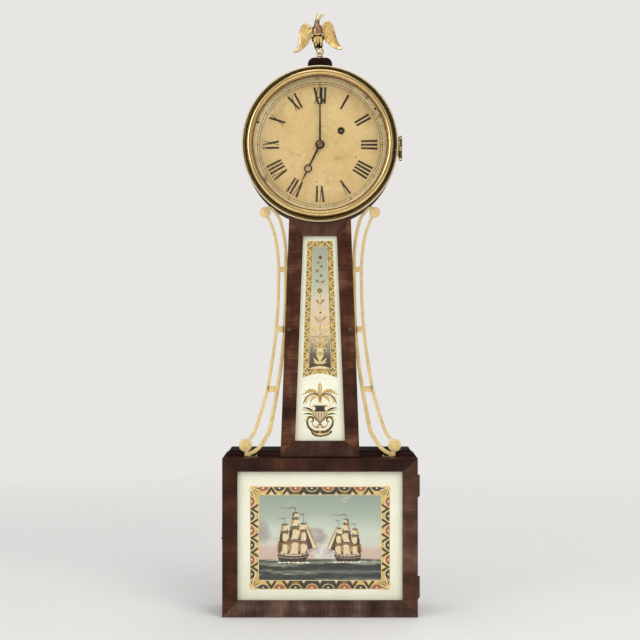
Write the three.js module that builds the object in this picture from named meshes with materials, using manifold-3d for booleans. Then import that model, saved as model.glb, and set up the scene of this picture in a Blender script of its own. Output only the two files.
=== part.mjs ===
// Banjo clock (patent-timepiece form): wooden wall case with a round head, a tapering throat and a box,
// brass bezel, side arms and eagle finial, and an eight-day weight-driven movement with a pendulum.
// Millimetres. +X right, +Z up, -Y towards the viewer, origin on the back plane behind the dial's middle.
import * as THREE from 'three';
import { mergeVertices } from 'three/addons/utils/BufferGeometryUtils.js';
import Module from 'manifold-3d';

const wasm = await Module();
wasm.setup();

// ---- driving dimensions ---------------------------------------------------------------------
// "Half" is a half width in X; front and back are Y; top and bottom are Z.
const GAP = 0.3; // fitting gap between pieces
const BOARD = 8; // thickness of the case boards
const RABBET = { width: 4, tablet: 3.6 }; // how far a rabbet and its tablet reach past the sight

const DRUM = { outer: 103.5, inner: 92, front: -80 };
const THROAT = {
  top: -103.9, topHalf: 41, bottom: -413.8, bottomHalf: 52.4,
  front: -83, back: -71,
  sideSet: 2.5, // the side boards stand in from the frame's edge
};
const THROAT_SIGHT = { top: -121.8, topHalf: 22.3, bottom: -392.8, bottomHalf: 33 };
const BOX = { half: 128.5, top: -414.6, bottom: -623.1, front: -77 };
const BOX_INNER_HALF = BOX.half - BOARD - GAP;
const ABOVE_BOX = BOX.top + GAP;
const DOOR = { front: -95, back: -78 };
const DOOR_SIGHT = { half: 108.65, top: -432.1, bottom: -601.7 };

// Arbors of the movement, in X and Z
const CENTRE = { x: 0, z: 0 };
const WINDING = { x: 27.9, z: 18.6 };
const THIRD = { x: -16.652, z: 14.377 };
const ESCAPE = { x: -6.5, z: 27 };
const MINUTE = { x: -8.5, z: -8.5 };
const SWING = { x: 0, z: 46 }; // pallet arbor and suspension

const CORD = { x: 18.8, y: -38, thickness: 0.45, clearance: 0.15 };
const PULLEY_Z = -436;
const SIDES = [['left', -1], ['right', 1]];

// ---- materials ------------------------------------------------------------------------------
const material = (color, { roughness, metalness = 0 }) =>
  new THREE.MeshStandardMaterial({ color, roughness, metalness });
const mahogany = () => material(0x5a3018, { roughness: 0.42 });
const darkWood = () => material(0x2a120c, { roughness: 0.5 });
const pine = () => material(0xb08a5a, { roughness: 0.75 });
const brass = () => material(0xc9a25a, { roughness: 0.32, metalness: 1 });
const gilt = () => material(0xb98a35, { roughness: 0.4, metalness: 1 });
const steel = () => material(0x2b2c30, { roughness: 0.35, metalness: 1 });
const iron = () => material(0x3a3a3c, { roughness: 0.6, metalness: 1 });
const paint = () => material(0xc6a876, { roughness: 0.55 });
const glass = () => material(0xe8efe9, { roughness: 0.05 });
const tabletGlass = () => material(0xe0e0cc, { roughness: 0.2 });
const gut = () => material(0xb79a63, { roughness: 0.7 });
const tin = () => material(0x8d9093, { roughness: 0.45, metalness: 1 });

// ---- solids ---------------------------------------------------------------------------------
const MERGE_DISTANCE = 1e-3;

// Closed, merged geometry with its faces pointing out.
function tidy(source) {
  const loose = source.index ? source.toNonIndexed() : source.clone();
  const bare = new THREE.BufferGeometry();
  bare.setAttribute('position', loose.getAttribute('position'));
  const geometry = mergeVertices(bare, MERGE_DISTANCE);
  const faces = [];
  for (let i = 0; i < geometry.index.count; i += 3) {
    const [a, b, c] = [0, 1, 2].map((k) => geometry.index.getX(i + k));
    if (a !== b && b !== c && c !== a) faces.push([a, b, c]);
  }
  const vertex = (i) => new THREE.Vector3().fromBufferAttribute(geometry.attributes.position, i);
  let volume = 0;
  for (const [a, b, c] of faces) volume += vertex(a).dot(vertex(b).cross(vertex(c)));
  const outward = volume < 0 ? faces.map(([a, b, c]) => [a, c, b]) : faces;
  geometry.setIndex(outward.flat());
  return geometry;
}

function toSolid(source) {
  const geometry = tidy(source);
  return new wasm.Manifold(new wasm.Mesh({
    numProp: 3,
    vertProperties: new Float32Array(geometry.attributes.position.array),
    triVerts: new Uint32Array(geometry.index.array),
  }));
}

// Indexed geometry from a flat list of coordinates and a list of vertex numbers.
function meshOf(coordinates, index) {
  const geometry = new THREE.BufferGeometry();
  const positions = new THREE.BufferAttribute(new Float32Array(coordinates), 3);
  geometry.setAttribute('position', positions);
  geometry.setIndex(index);
  return geometry;
}

function toGeometry(solid) {
  const mesh = solid.getMesh();
  const coordinates = [];
  for (let i = 0; i < mesh.numVert; i++) {
    for (let k = 0; k < 3; k++) coordinates.push(mesh.vertProperties[i * mesh.numProp + k]);
  }
  return meshOf(coordinates, Array.from(mesh.triVerts));
}

const join = (...parts) => toGeometry(parts.map(toSolid).reduce((sum, part) => sum.add(part)));
const cut = (body, ...tools) =>
  toGeometry(tools.map(toSolid).reduce((rest, tool) => rest.subtract(tool), toSolid(body)));

// ---- outlines: lists of [x, z] --------------------------------------------------------------
const radians = (degrees) => (degrees * Math.PI) / 180;
const degrees = (angle) => (angle * 180) / Math.PI;

// Points of an arc, angles in degrees from +X.
function arc(centreX, centreZ, radius, from, to, steps) {
  const points = [];
  for (let i = 0; i <= steps; i++) {
    const angle = radians(from + ((to - from) * i) / steps);
    points.push([centreX + radius * Math.cos(angle), centreZ + radius * Math.sin(angle)]);
  }
  return points;
}
const circle = (x, z, radius, count, turn = 0) =>
  arc(x, z, radius, turn, turn + 360 - 360 / count, count - 1);
const rect = (left, right, bottom, top) => [
  [left, bottom], [right, bottom], [right, top], [left, top],
];
// Symmetrical about X = 0, with its own half width at each end.
const taper = (bottomHalf, bottom, topHalf, top) => [
  [-bottomHalf, bottom], [bottomHalf, bottom], [topHalf, top], [-topHalf, top],
];
const mirrored = (points) => points.map(([x, z]) => [-x, z]).reverse();
const spun = (points, angle) => points.map(([x, z]) => [
  x * Math.cos(angle) - z * Math.sin(angle),
  x * Math.sin(angle) + z * Math.cos(angle),
]);
// Height of a circle about the origin above its middle, at x.
const circleRise = (radius, x) => Math.sqrt(radius * radius - x * x);

// Unit normal of a line of points at point i, to the left of its run.
function normalAt(line, i) {
  const [x0, z0] = line[Math.max(0, i - 1)];
  const [x1, z1] = line[Math.min(line.length - 1, i + 1)];
  const length = Math.hypot(x1 - x0, z1 - z0);
  return [-(z1 - z0) / length, (x1 - x0) / length];
}

// ---- bodies ---------------------------------------------------------------------------------
const vectors = (points) => points.map(([x, y]) => new THREE.Vector2(x, y));

// A sheet drawn in X and Z, between two Y planes.
function sheet(points, front, back, holes = []) {
  const shape = new THREE.Shape(vectors(points));
  for (const hole of holes) shape.holes.push(new THREE.Path(vectors(hole)));
  const options = { depth: back - front, bevelEnabled: false, curveSegments: 1 };
  const geometry = new THREE.ExtrudeGeometry(shape, options);
  geometry.rotateX(Math.PI / 2);
  geometry.translate(0, back, 0);
  return geometry;
}

// A body turned about the Y axis through (x, z); the profile is [radius, y].
const turned = (profile, segments, x = 0, z = 0) =>
  new THREE.LatheGeometry(vectors(profile), segments).translate(x, 0, z);
// A body turned about the Z axis through (x, y); the profile is [radius, z].
const turnedZ = (profile, segments, x = 0, y = 0) =>
  new THREE.LatheGeometry(vectors(profile), segments).rotateX(Math.PI / 2).translate(x, y, 0);

const rodProfile = (radius, start, end) => [[0, start], [radius, start], [radius, end], [0, end]];
const rod = (radius, front, back, segments, x = 0, z = 0) =>
  turned(rodProfile(radius, front, back), segments, x, z);
const rodZ = (radius, bottom, top, segments, x, y) =>
  turnedZ(rodProfile(radius, bottom, top), segments, x, y);

function block(left, right, front, back, bottom, top) {
  const geometry = new THREE.BoxGeometry(right - left, back - front, top - bottom);
  return geometry.translate((left + right) / 2, (front + back) / 2, (bottom + top) / 2);
}

// A closed skin over rings of four [x, y, z] corners.
function loft(rings) {
  const index = [];
  for (let i = 0; i + 1 < rings.length; i++) {
    for (let k = 0; k < 4; k++) {
      const a = i * 4 + k;
      const b = i * 4 + ((k + 1) % 4);
      index.push(a, b, b + 4, a, b + 4, a + 4);
    }
  }
  const end = (rings.length - 1) * 4;
  index.push(0, 2, 1, 0, 3, 2, end, end + 1, end + 2, end, end + 2, end + 3);
  return meshOf(rings.flat(2), index);
}

// ---- scene graph ----------------------------------------------------------------------------
const group = new THREE.Group();
const groups = {};
for (const name of ['case', 'door', 'head', 'hands', 'movement', 'drive']) {
  groups[name] = new THREE.Group();
  group.add(groups[name]);
}

function piece(where, name, geometry, finish, { x = 0, y = 0, z = 0, turn = 0 } = {}) {
  const mesh = new THREE.Mesh(tidy(geometry), finish);
  mesh.name = name;
  mesh.position.set(x, y, z);
  mesh.rotation.y = turn;
  groups[where].add(mesh);
}

// ---- case: backboard and head ring ----------------------------------------------------------
const THROAT_SLOPE = (THROAT.bottomHalf - THROAT.topHalf) / (THROAT.top - THROAT.bottom);
const throatHalf = (z) => THROAT.topHalf + (THROAT.top - z) * THROAT_SLOPE;
const sideOuter = (z) => throatHalf(z) - THROAT.sideSet;
const sideInner = (z) => sideOuter(z) - BOARD;
const backHalf = (z) => sideInner(z) - GAP;

const HANGER = { half: 14, bottom: 52, top: 80, front: -2.4, back: -0.4 };
const HANGER_RECESS = { margin: 0.4, front: -2.9 };

// One board closes the head, the throat and the box.
function backboard() {
  const radius = DRUM.inner - GAP - 0.2;
  const neck = degrees(Math.asin(backHalf(-88) / radius)); // the throat meets the head here
  const top = BOX.top - GAP;
  const board = sheet([
    [BOX_INNER_HALF, BOX.bottom], [BOX_INNER_HALF, top], [backHalf(top), top],
    ...arc(0, 0, radius, -90 + neck, 270 - neck, 44),
    [-backHalf(top), top], [-BOX_INNER_HALF, top], [-BOX_INNER_HALF, BOX.bottom],
  ], -BOARD, 0);
  const half = HANGER.half + HANGER_RECESS.margin;
  const plateRecess = block(-half, half, HANGER_RECESS.front, 1,
    HANGER.bottom - HANGER_RECESS.margin, HANGER.top + HANGER_RECESS.margin);
  const deepRecess = block(-7, 7, -6.5, 1, 57, 75); // behind the keyhole
  return cut(board, plateRecess, deepRecess);
}

function hangerPlate() {
  const keyhole = [...arc(0, 62.5, 4.5, 125, 415, 10), ...arc(0, 71, 2.4, 0, 180, 5)];
  const plate = rect(-HANGER.half, HANGER.half, HANGER.bottom, HANGER.top);
  return sheet(plate, HANGER.front, HANGER.back, [keyhole]);
}

function headRing() {
  const { inner, outer, front } = DRUM;
  const ring = turned([[inner, front], [outer, front], [outer, 0], [inner, 0], [inner, front]], 48);
  const throatOpening = block(-30.8, 30.8, -72, 1, -110, -70);
  return cut(ring, throatOpening);
}

piece('case', 'backboard', backboard(), pine());
piece('case', 'hanger_plate', hangerPlate(), iron());
piece('case', 'head_ring', headRing(), mahogany());

// ---- case: throat ---------------------------------------------------------------------------
const THROAT_SCREW = { x: 40.5, z: -245, hole: 2 };
const SCREW_PROFILE = [ // radius, y
  [0, -84.6], [2.2, -84.5], [3, -83.9], [3, -83.3], [1.6, -83.3], [1.6, -71.6], [0, -71.6],
];

// The right-hand side board; its top follows the drum.
function throatSideOutline() {
  const radius = DRUM.outer + GAP + 0.1;
  const inner = sideInner(-97);
  const outer = sideOuter(-95);
  const middle = (inner + outer) / 2;
  return [
    [sideInner(ABOVE_BOX), ABOVE_BOX], [sideOuter(ABOVE_BOX), ABOVE_BOX],
    [outer, -circleRise(radius, outer)],
    [middle, -circleRise(radius, middle) - 0.1],
    [inner, -circleRise(radius, inner)],
  ];
}

// The throat opening, grown on all sides.
const throatSight = (grow) => taper(
  THROAT_SIGHT.bottomHalf + grow, THROAT_SIGHT.bottom - grow,
  THROAT_SIGHT.topHalf + grow, THROAT_SIGHT.top + grow);

function throatFrame() {
  const radius = DRUM.outer + 0.4;
  const corner = degrees(Math.asin(throatHalf(-95.5) / radius));
  const body = sheet([
    [-THROAT.bottomHalf, THROAT.bottom], [THROAT.bottomHalf, THROAT.bottom],
    ...arc(0, 0, radius, -90 + corner, -90 - corner, 12),
  ], THROAT.front, THROAT.back);
  const screwHoles = SIDES.map(([, side]) =>
    rod(THROAT_SCREW.hole, -90, -60, 8, side * THROAT_SCREW.x, THROAT_SCREW.z));
  return cut(body,
    sheet(throatSight(0), -90, -60), sheet(throatSight(RABBET.width), -77, -60), ...screwHoles);
}

for (const [name, side] of SIDES) {
  const outline = throatSideOutline();
  const board = sheet(side > 0 ? outline : mirrored(outline), THROAT.back + GAP, 0);
  piece('case', `throat_side_${name}`, board, mahogany());
}
piece('case', 'throat_frame', throatFrame(), mahogany());
piece('case', 'throat_tablet', sheet(throatSight(RABBET.tablet), -76.7, -74.2), tabletGlass());
for (const [name, side] of SIDES) {
  piece('case', `throat_screw_${name}`, turned(SCREW_PROFILE, 10), brass(),
    { x: side * THROAT_SCREW.x, z: THROAT_SCREW.z });
}

// ---- case: box ------------------------------------------------------------------------------
const boxShelf = (bottom) =>
  block(-BOX_INNER_HALF, BOX_INNER_HALF, BOX.front, -BOARD - GAP, bottom, bottom + BOARD);

for (const [name, side] of SIDES) {
  const x = side * (BOX.half - BOARD / 2);
  const board = block(x - BOARD / 2, x + BOARD / 2, BOX.front, 0, BOX.bottom, BOX.top);
  piece('case', `box_side_${name}`, board, mahogany());
}
piece('case', 'box_bottom', boxShelf(BOX.bottom), mahogany());
// The top has an opening below the throat.
piece('case', 'box_top',
  cut(boxShelf(BOX.top - BOARD), block(-38, 38, -72, -12, -430, -410)), mahogany());

// ---- case: top mouldings --------------------------------------------------------------------
const MOULDING = { top: -407.2, outer: 126.9, front: -66.6, throatGap: 0.7 };
const MOULDING_LAYERS = [ // share of the height, inset
  [0, 0], [0.13, 0], [0.24, 3.0], [0.42, 5.0], [0.6, 5.6], [1, 5.6],
];

// A cove on the front and on the outer end, square against the throat.
function topMoulding(side) {
  const inner = side * (sideOuter(MOULDING.top) + MOULDING.throatGap);
  return loft(MOULDING_LAYERS.map(([share, inset]) => {
    const z = ABOVE_BOX + share * (MOULDING.top - ABOVE_BOX);
    const outer = side * (MOULDING.outer - inset);
    const front = MOULDING.front + inset;
    return [[inner, 0, z], [inner, front, z], [outer, front, z], [outer, 0, z]];
  }));
}

for (const [name, side] of SIDES) {
  piece('case', `top_moulding_${name}`, topMoulding(side), darkWood());
}

// ---- case: finial plinth --------------------------------------------------------------------
const PLINTH = { half: 16.5, topHalf: 7.8, spring: 108.7, top: 118.5, front: -58, back: -32 };

// Plinth with convex shoulders on the crown of the drum.
function finialPlinth() {
  const radius = DRUM.outer + 0.35;
  const foot = [];
  const shoulder = [];
  for (let i = 0; i <= 6; i++) {
    const x = -PLINTH.half + (2 * PLINTH.half * i) / 6;
    foot.push([x, circleRise(radius, x) + 0.05]);
    const angle = (i * Math.PI) / 12;
    shoulder.push([
      PLINTH.topHalf + (PLINTH.half - PLINTH.topHalf) * Math.cos(angle),
      PLINTH.spring + (PLINTH.top - PLINTH.spring) * Math.sin(angle),
    ]);
  }
  return sheet([...foot, ...shoulder, ...mirrored(shoulder)], PLINTH.front, PLINTH.back);
}

piece('case', 'finial_plinth', finialPlinth(), darkWood());

// ---- case: eagle finial ---------------------------------------------------------------------
const EAGLE_Y = -45;
const RIGHT_WING = [ // x, z
  [-1, 150], [-1, 160], [5.6, 167.5], [9.8, 171.8], [14.1, 169.6], [18.6, 163.4],
  [20.9, 154.3], [24.9, 141.2], [31.1, 135.3], [30.5, 129.9], [18.6, 132.7],
  [11.8, 137.3], [4.5, 142.2],
];
const LEFT_WING = [ // x, z
  [-5, 148], [-12, 143], [-20, 133.3], [-30.8, 126.5], [-34.7, 125.9], [-37.3, 128.2],
  [-31.3, 135], [-29.3, 142.3], [-28.2, 157], [-24, 165.6], [-18.6, 168.1],
  [-13.7, 162.5], [-5, 159],
];
const TAIL = [[-7, 152], [-8.4, 134], [-2.4, 131.5], [3.6, 134], [1.5, 152]]; // x, z
const STAND_PROFILE = [ // radius, z
  [0, 118.8], [4.6, 118.8], [4.6, 123.6], [3.0, 124.2], [4.4, 126.2], [4.8, 128.6],
  [4.2, 131.4], [2.2, 133.4], [0, 134],
];
// centre, with y counted from EAGLE_Y; radii along x, y, z; rings from pole to pole
const EAGLE_EGGS = [
  { centre: [-3.4, 0, 150.5], radii: [7, 6, 15.5], rings: 6 }, // body
  { centre: [-4.2, -1, 167.5], radii: [3.6, 4, 6], rings: 6 }, // neck
  { centre: [-1.6, -1.6, 175.2], radii: [4, 3.8, 5.4], rings: 6 }, // head
  { centre: [-5.6, -1, 136.4], radii: [2.6, 2.6, 4.6], rings: 5 }, // left leg
  { centre: [0, -1, 136.4], radii: [2.6, 2.6, 4.6], rings: 5 }, // right leg
];

const egg = ({ centre: [x, y, z], radii, rings }) => new THREE.SphereGeometry(1, 8, rings)
  .rotateX(Math.PI / 2)
  .scale(...radii)
  .translate(x, EAGLE_Y + y, z);
const wing = (points) => sheet(points, EAGLE_Y - 0.1, EAGLE_Y + 3.1);
// The beak points right and a little forward.
const beak = () => new THREE.ConeGeometry(2, 6, 6)
  .rotateZ(-Math.PI / 2 - 0.35)
  .translate(2.9, EAGLE_Y - 2.4, 176.6);

piece('case', 'eagle_finial', join(
  turnedZ(STAND_PROFILE, 10, 0, EAGLE_Y), ...EAGLE_EGGS.map(egg),
  sheet(TAIL, EAGLE_Y + 1, EAGLE_Y + 4.5), wing(RIGHT_WING), wing(LEFT_WING), beak()), gilt());

// ---- case: side arms ------------------------------------------------------------------------
const ARM = { front: -70.5, back: -67.5 };
const ARM_INNER = [ // x, z down the middle of the bar next to the throat
  [70.5, -83.9], [65.2, -84.1], [57.8, -92.1], [52.8, -101.4], [48.1, -121.3], [45.8, -139.9],
  [45.4, -165.1], [45.8, -206.3], [47.2, -245], [50.9, -286], [56.7, -326], [61.6, -353],
  [66.7, -379], [71.2, -388.2], [76.5, -397], [82.5, -404], [89, -408.6], [96, -411.2],
];
const ARM_OUTER = [ // x, z down the middle of the other bar
  [71.6, -94], [68.6, -97.4], [61.2, -116], [57.1, -137.3], [55.1, -165.1], [55.8, -206.3],
  [58.3, -244.9], [63.5, -286], [69.9, -324.6], [76.4, -348.5], [86.2, -379], [93.5, -391],
];
const ARM_CROSS_BARS = [[-165.5, 6.8], [-245.2, 8], [-325, 7.6]]; // z, height
const ARM_DISCS = [ // x, z, radius, segments
  [72.9, -89.6, 7, 14], [99.2, -399.7, 8.7, 16], [56.4, -90.8, 2.3, 10],
];
// Tab in front of the moulding, standing on the box
const ARM_FOOT = [[91.5, -414.2], [100.5, -414.2], [100, -406.5], [93.5, -408]]; // x, z

// A flat bar along a line of points; its width changes by growth between z = -85 and z = -410.
function armBar(line, topWidth, growth) {
  const edge = (side) => line.map(([x, z], i) => {
    const [normalX, normalZ] = normalAt(line, i);
    const reach = (side * (topWidth + (growth * (-z - 85)) / 325)) / 2;
    return [x + normalX * reach, z + normalZ * reach];
  });
  return [...edge(1), ...edge(-1).reverse()];
}

// X where a line of points first passes the height z.
function crossingX(line, z) {
  const i = line.findIndex(([, start], k) => (start - z) * (line[k + 1][1] - z) <= 0);
  const [[x0, z0], [x1, z1]] = [line[i], line[i + 1]];
  return x0 + ((z - z0) / (z1 - z0)) * (x1 - x0);
}

function sideArm() {
  const crossBars = ARM_CROSS_BARS.map(([z, height]) =>
    rect(crossingX(ARM_INNER, z), crossingX(ARM_OUTER, z), z - height / 2, z + height / 2));
  const outlines = [
    armBar(ARM_INNER, 3.8, 1.6), armBar(ARM_OUTER, 3.7, 0.5),
    ...ARM_DISCS.map((disc) => circle(...disc)), ...crossBars, ARM_FOOT,
  ];
  return join(...outlines.map((outline) => sheet(outline, ARM.front, ARM.back)));
}

piece('case', 'side_arm_right', sideArm(), brass());
piece('case', 'side_arm_left', sideArm().scale(-1, 1, 1), brass());

// ---- door -----------------------------------------------------------------------------------
const DOOR_HINGE = {
  x: 130.6, y: -77.5, // pin axis
  knuckle: 1.7, pin: 0.75, bore: 1.1, // radii
  half: 14, // half height
  inner: 128.8, outer: 129.9, rootOuter: 130.2, // x faces of the leaves and of their roots
};
const HOOK = { x: -128.9, y: -71, z: -519, halfThickness: 0.7 }; // x: its face beside the case
const HOOK_OUTLINE = [ // depth, height
  [4.2, -2.2], [4.2, 2.2], [0, 3], [-13.4, 2.6], [-17.2, 2.6], [-17.2, -3.6], [-15.1, -3.6],
  [-15.1, -0.9], [-12.6, -0.9], [-12.6, -2.2], [0, -2.2],
];

// The door opening, grown on all sides.
const doorSight = (grow) => {
  const half = DOOR_SIGHT.half + grow;
  return rect(-half, half, DOOR_SIGHT.bottom - grow, DOOR_SIGHT.top + grow);
};
const doorFrame = () => cut(
  sheet(rect(-BOX.half, BOX.half, BOX.bottom, BOX.top), DOOR.front, DOOR.back),
  sheet(doorSight(0), -110, -60), sheet(doorSight(RABBET.width), -88, -60));

// The case leaf carries the pin.
function doorHingeCase(middle) {
  const { x, y, knuckle, pin, half, inner, outer, rootOuter } = DOOR_HINGE;
  const bottom = middle - half;
  const top = middle + half;
  const pinTop = top + 0.2;
  return join(
    block(inner, outer, -75.9, -62, bottom, top),
    turnedZ([
      [0, bottom], [knuckle, bottom], [knuckle, middle], [pin, middle], [pin, pinTop], [0, pinTop],
    ], 10, x, y),
    block(inner, rootOuter, -77.2, -75.6, bottom, middle - GAP));
}

// The door leaf turns on the pin.
function doorHingeLeaf(middle) {
  const { x, y, knuckle, bore, half, inner, outer, rootOuter } = DOOR_HINGE;
  const top = middle + half;
  const leaf = join(
    block(inner, outer, -92, -79.1, middle - half, top),
    rodZ(knuckle, middle + GAP, top, 10, x, y),
    block(inner, rootOuter, -79.4, -77.8, middle + GAP, top));
  return cut(leaf, rodZ(bore, middle - 2, middle + 20, 10, x, y));
}

// Stood on the case's side, then swung up, clear of its pin.
const doorHook = () => sheet(HOOK_OUTLINE, -HOOK.halfThickness, HOOK.halfThickness)
  .rotateZ(Math.PI / 2)
  .rotateX(radians(-100));

piece('door', 'door_frame', doorFrame(), mahogany());
piece('door', 'door_tablet', sheet(doorSight(RABBET.tablet), -87.7, -85.2), tabletGlass());
for (const [name, middle] of [['upper', -452], ['lower', -586]]) {
  piece('door', `door_hinge_case_${name}`, doorHingeCase(middle), brass());
  piece('door', `door_hinge_leaf_${name}`, doorHingeLeaf(middle), brass());
}
piece('door', 'door_hook', doorHook(), brass(),
  { x: HOOK.x - HOOK.halfThickness, y: HOOK.y, z: HOOK.z });
piece('door', 'door_hook_pin',
  new THREE.CylinderGeometry(0.8, 0.8, 2.4, 8).rotateZ(Math.PI / 2), brass(),
  { x: HOOK.x - 1, y: -84.85, z: HOOK.z - 2 });

// ---- head: bezel, glass, dial ---------------------------------------------------------------
const BEZEL_PROFILE = [ // radius, y
  [91, -80.5], [103.3, -80.5], [103.3, -85.2], [102, -86.4], [100.6, -85.4], [96.4, -87.8],
  [94.6, -93.6], [92.6, -96], [90.4, -93.8], [88.2, -90.6], [88, -87], [91, -86.8], [91, -80.5],
];
const GLASS_PROFILE = [ // radius, y
  [0, -97], [30, -95.9], [60, -92.4], [87.0, -86.6], [90.6, -86.4],
  [90.6, -84.4], [86.4, -84.4], [60, -90.3], [30, -93.8], [0, -94.9],
];
const BEZEL_HINGE = { x: 106.5, y: -81.5 };
const BEZEL_PIN_PROFILE = [ // radius, z: finial, knuckle, pin, finial
  [0, -24.2], [1.3, -23.4], [1.3, -22.4], [0.8, -22], [1.9, -22], [1.9, -7],
  [0.8, -7], [0.8, 9.3], [1.5, 9.9], [1.5, 11], [0, 11.8],
];
const DIAL = { radius: 91.2, front: -71.5, back: -70, centreHole: 5.2, windingHole: 4.5 };

const bezelHingeCase = () => join(
  block(103.9, 105.2, -79.2, -66, -15, 1),
  turnedZ(BEZEL_PIN_PROFILE, 10, BEZEL_HINGE.x, BEZEL_HINGE.y),
  block(103.9, 106.2, -81, -78.6, -20, -7.3));
const bezelHingeLeaf = () => cut(
  join(
    rodZ(1.9, -6.7, 9, 10, BEZEL_HINGE.x, BEZEL_HINGE.y),
    block(103.75, 106, -84.2, -82.4, -5.5, 8)),
  rodZ(1.15, -10, 12, 10, BEZEL_HINGE.x, BEZEL_HINGE.y));
const dial = () => sheet(circle(0, 0, DIAL.radius, 48), DIAL.front, DIAL.back, [
  circle(0, 0, DIAL.centreHole, 12),
  circle(WINDING.x, WINDING.z, DIAL.windingHole, 12),
]);

piece('head', 'bezel', turned(BEZEL_PROFILE, 44), brass());
piece('head', 'bezel_glass', turned(GLASS_PROFILE, 30), glass());
piece('head', 'bezel_hinge_case', bezelHingeCase(), brass());
piece('head', 'bezel_hinge_leaf', bezelHingeLeaf(), brass());
piece('head', 'dial', dial(), paint());

// ---- hands ----------------------------------------------------------------------------------
// boss and ring: outer and hole radii; ring.z and tip: distance out from the middle;
// shaft: width at the boss and at the ring
const MINUTE_HAND = {
  boss: { radius: 5.6, hole: 2.7 }, ring: { radius: 5, hole: 3.3, z: 57.7 },
  tip: 83, shaft: [2.4, 1.7], front: -78.6, back: -77.5,
};
const HOUR_HAND = {
  boss: { radius: 6.1, hole: 4.25 }, ring: { radius: 5.4, hole: 3.5, z: 35.6 },
  tip: 55.4, shaft: [2.6, 2], front: -75.6, back: -74.5,
};
const HOUR_TURN = radians(206.3);
const TIP_HALF = 0.35;
const COLLET_PROFILE = [ // radius, y
  [1.7, -81.4], [3.0, -81.4], [3.8, -80.6], [3.8, -79.9], [1.7, -79.9], [1.7, -81.4],
];

// Boss with a round hole, a shaft, an open ring and a pointed tip.
function hand({ boss, ring, tip, shaft: [bossWidth, ringWidth], front, back }) {
  const outlines = [
    circle(0, 0, boss.radius, 16),
    taper(bossWidth / 2, 0, ringWidth / 2, ring.z),
    circle(0, ring.z, ring.radius, 14),
    taper(ringWidth / 2, ring.z + ring.radius - 0.5, TIP_HALF, tip),
  ];
  const holes = [circle(0, 0, boss.hole, 12), circle(0, ring.z, ring.hole, 12)];
  return cut(
    join(...outlines.map((outline) => sheet(outline, front, back))),
    ...holes.map((hole) => sheet(hole, front - 1, back + 1)));
}

piece('hands', 'minute_hand', hand(MINUTE_HAND), steel());
piece('hands', 'hour_hand', hand(HOUR_HAND), steel(), { turn: HOUR_TURN });
piece('hands', 'hand_collet', turned(COLLET_PROFILE, 12), brass());

// ---- movement: frame ------------------------------------------------------------------------
const PLATE = { left: -40, right: 50, bottom: -34, top: 64 };
const BACK_PLATE = { front: -23, back: -21 };
const FRONT_PLATE = { front: -55, back: -53 };
const SEATBOARD = { margin: 2, front: -20.6, back: -8.4 };
const PILLAR_INSET = 6;
const PILLAR_PROFILE = [ // radius, y
  [0, -52.7], [3, -52.7], [2.2, -48], [3.4, -38], [2.2, -28], [3, -23.3], [0, -23.3],
];

function seatboard() {
  const { margin, front, back } = SEATBOARD;
  const board = block(PLATE.left - margin, PLATE.right + margin, front, back,
    PLATE.bottom - margin, PLATE.top + margin);
  return cut(board, rod(2, -30, 0, 8), rod(3.4, -30, 0, 8, WINDING.x, WINDING.z));
}

function plate({ front, back }, windingHole) {
  const outline = rect(PLATE.left, PLATE.right, PLATE.bottom, PLATE.top);
  return sheet(outline, front, back, [
    circle(CENTRE.x, CENTRE.z, 1.8, 10),
    circle(WINDING.x, WINDING.z, windingHole, 10),
    circle(THIRD.x, THIRD.z, 1.2, 8),
    circle(ESCAPE.x, ESCAPE.z, 1.2, 8),
    circle(SWING.x, SWING.z, 1.3, 8),
  ]);
}

function frontPlate() {
  const minuteWheelStud = rod(1, -61.7, -54, 8, MINUTE.x, MINUTE.z);
  const cordPost = rod(1.2, -54, -23.4, 8, -CORD.x, -21); // holds the fixed end of the cord
  return join(plate(FRONT_PLATE, 3.1), minuteWheelStud, cordPost);
}

piece('movement', 'seatboard', seatboard(), pine());
piece('movement', 'back_plate', plate(BACK_PLATE, 2.9), brass());
piece('movement', 'front_plate', frontPlate(), brass());
for (const [row, z] of [['lower', PLATE.bottom + PILLAR_INSET], ['upper', PLATE.top - PILLAR_INSET]]) {
  for (const [side, x] of [['left', PLATE.left + PILLAR_INSET], ['right', PLATE.right - PILLAR_INSET]]) {
    piece('movement', `pillar_${row}_${side}`, turned(PILLAR_PROFILE, 8), brass(), { x, z });
  }
}

// ---- movement: toothing ---------------------------------------------------------------------
// Each meshing pair shares a module. Addendum and dedendum are lengths; width is a tooth's
// width at its root as a share of the pitch.
const gear = (teeth, module, addendum, dedendum, width) => ({
  teeth, width,
  root: (teeth * module) / 2 - dedendum,
  crown: (teeth * module) / 2 + addendum,
  pitchRadius: (teeth * module) / 2,
  halfWidth: (width * Math.PI * module) / 2,
});
const GREAT_MODULE = 0.657;
const CENTRE_MODULE = 2 / 3;
const THIRD_MODULE = 0.6;
const CANNON_MODULE = 0.5;
const HOUR_MODULE = 0.48;
const GEARS = {
  great: gear(96, GREAT_MODULE, 0.45, 0.75, 0.36),
  centrePinion: gear(6, GREAT_MODULE, 0.45, 0.75, 0.32),
  centre: gear(60, CENTRE_MODULE, 0.5, 0.8, 0.36),
  thirdPinion: gear(6, CENTRE_MODULE, 0.45, 0.75, 0.32),
  third: gear(48, THIRD_MODULE, 0.45, 0.75, 0.36),
  escapePinion: gear(6, THIRD_MODULE, 0.42, 0.7, 0.32),
  cannon: gear(12, CANNON_MODULE, 0.38, 0.6, 0.3),
  minute: gear(36, CANNON_MODULE, 0.38, 0.6, 0.34),
  minutePinion: gear(10, HOUR_MODULE, 0.36, 0.58, 0.3),
  hour: gear(40, HOUR_MODULE, 0.36, 0.58, 0.34),
};

// Angle from one arbor to another in the XZ plane, from +X towards +Z.
const bearing = (from, to) => Math.atan2(to.z - from.z, to.x - from.x);

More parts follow.
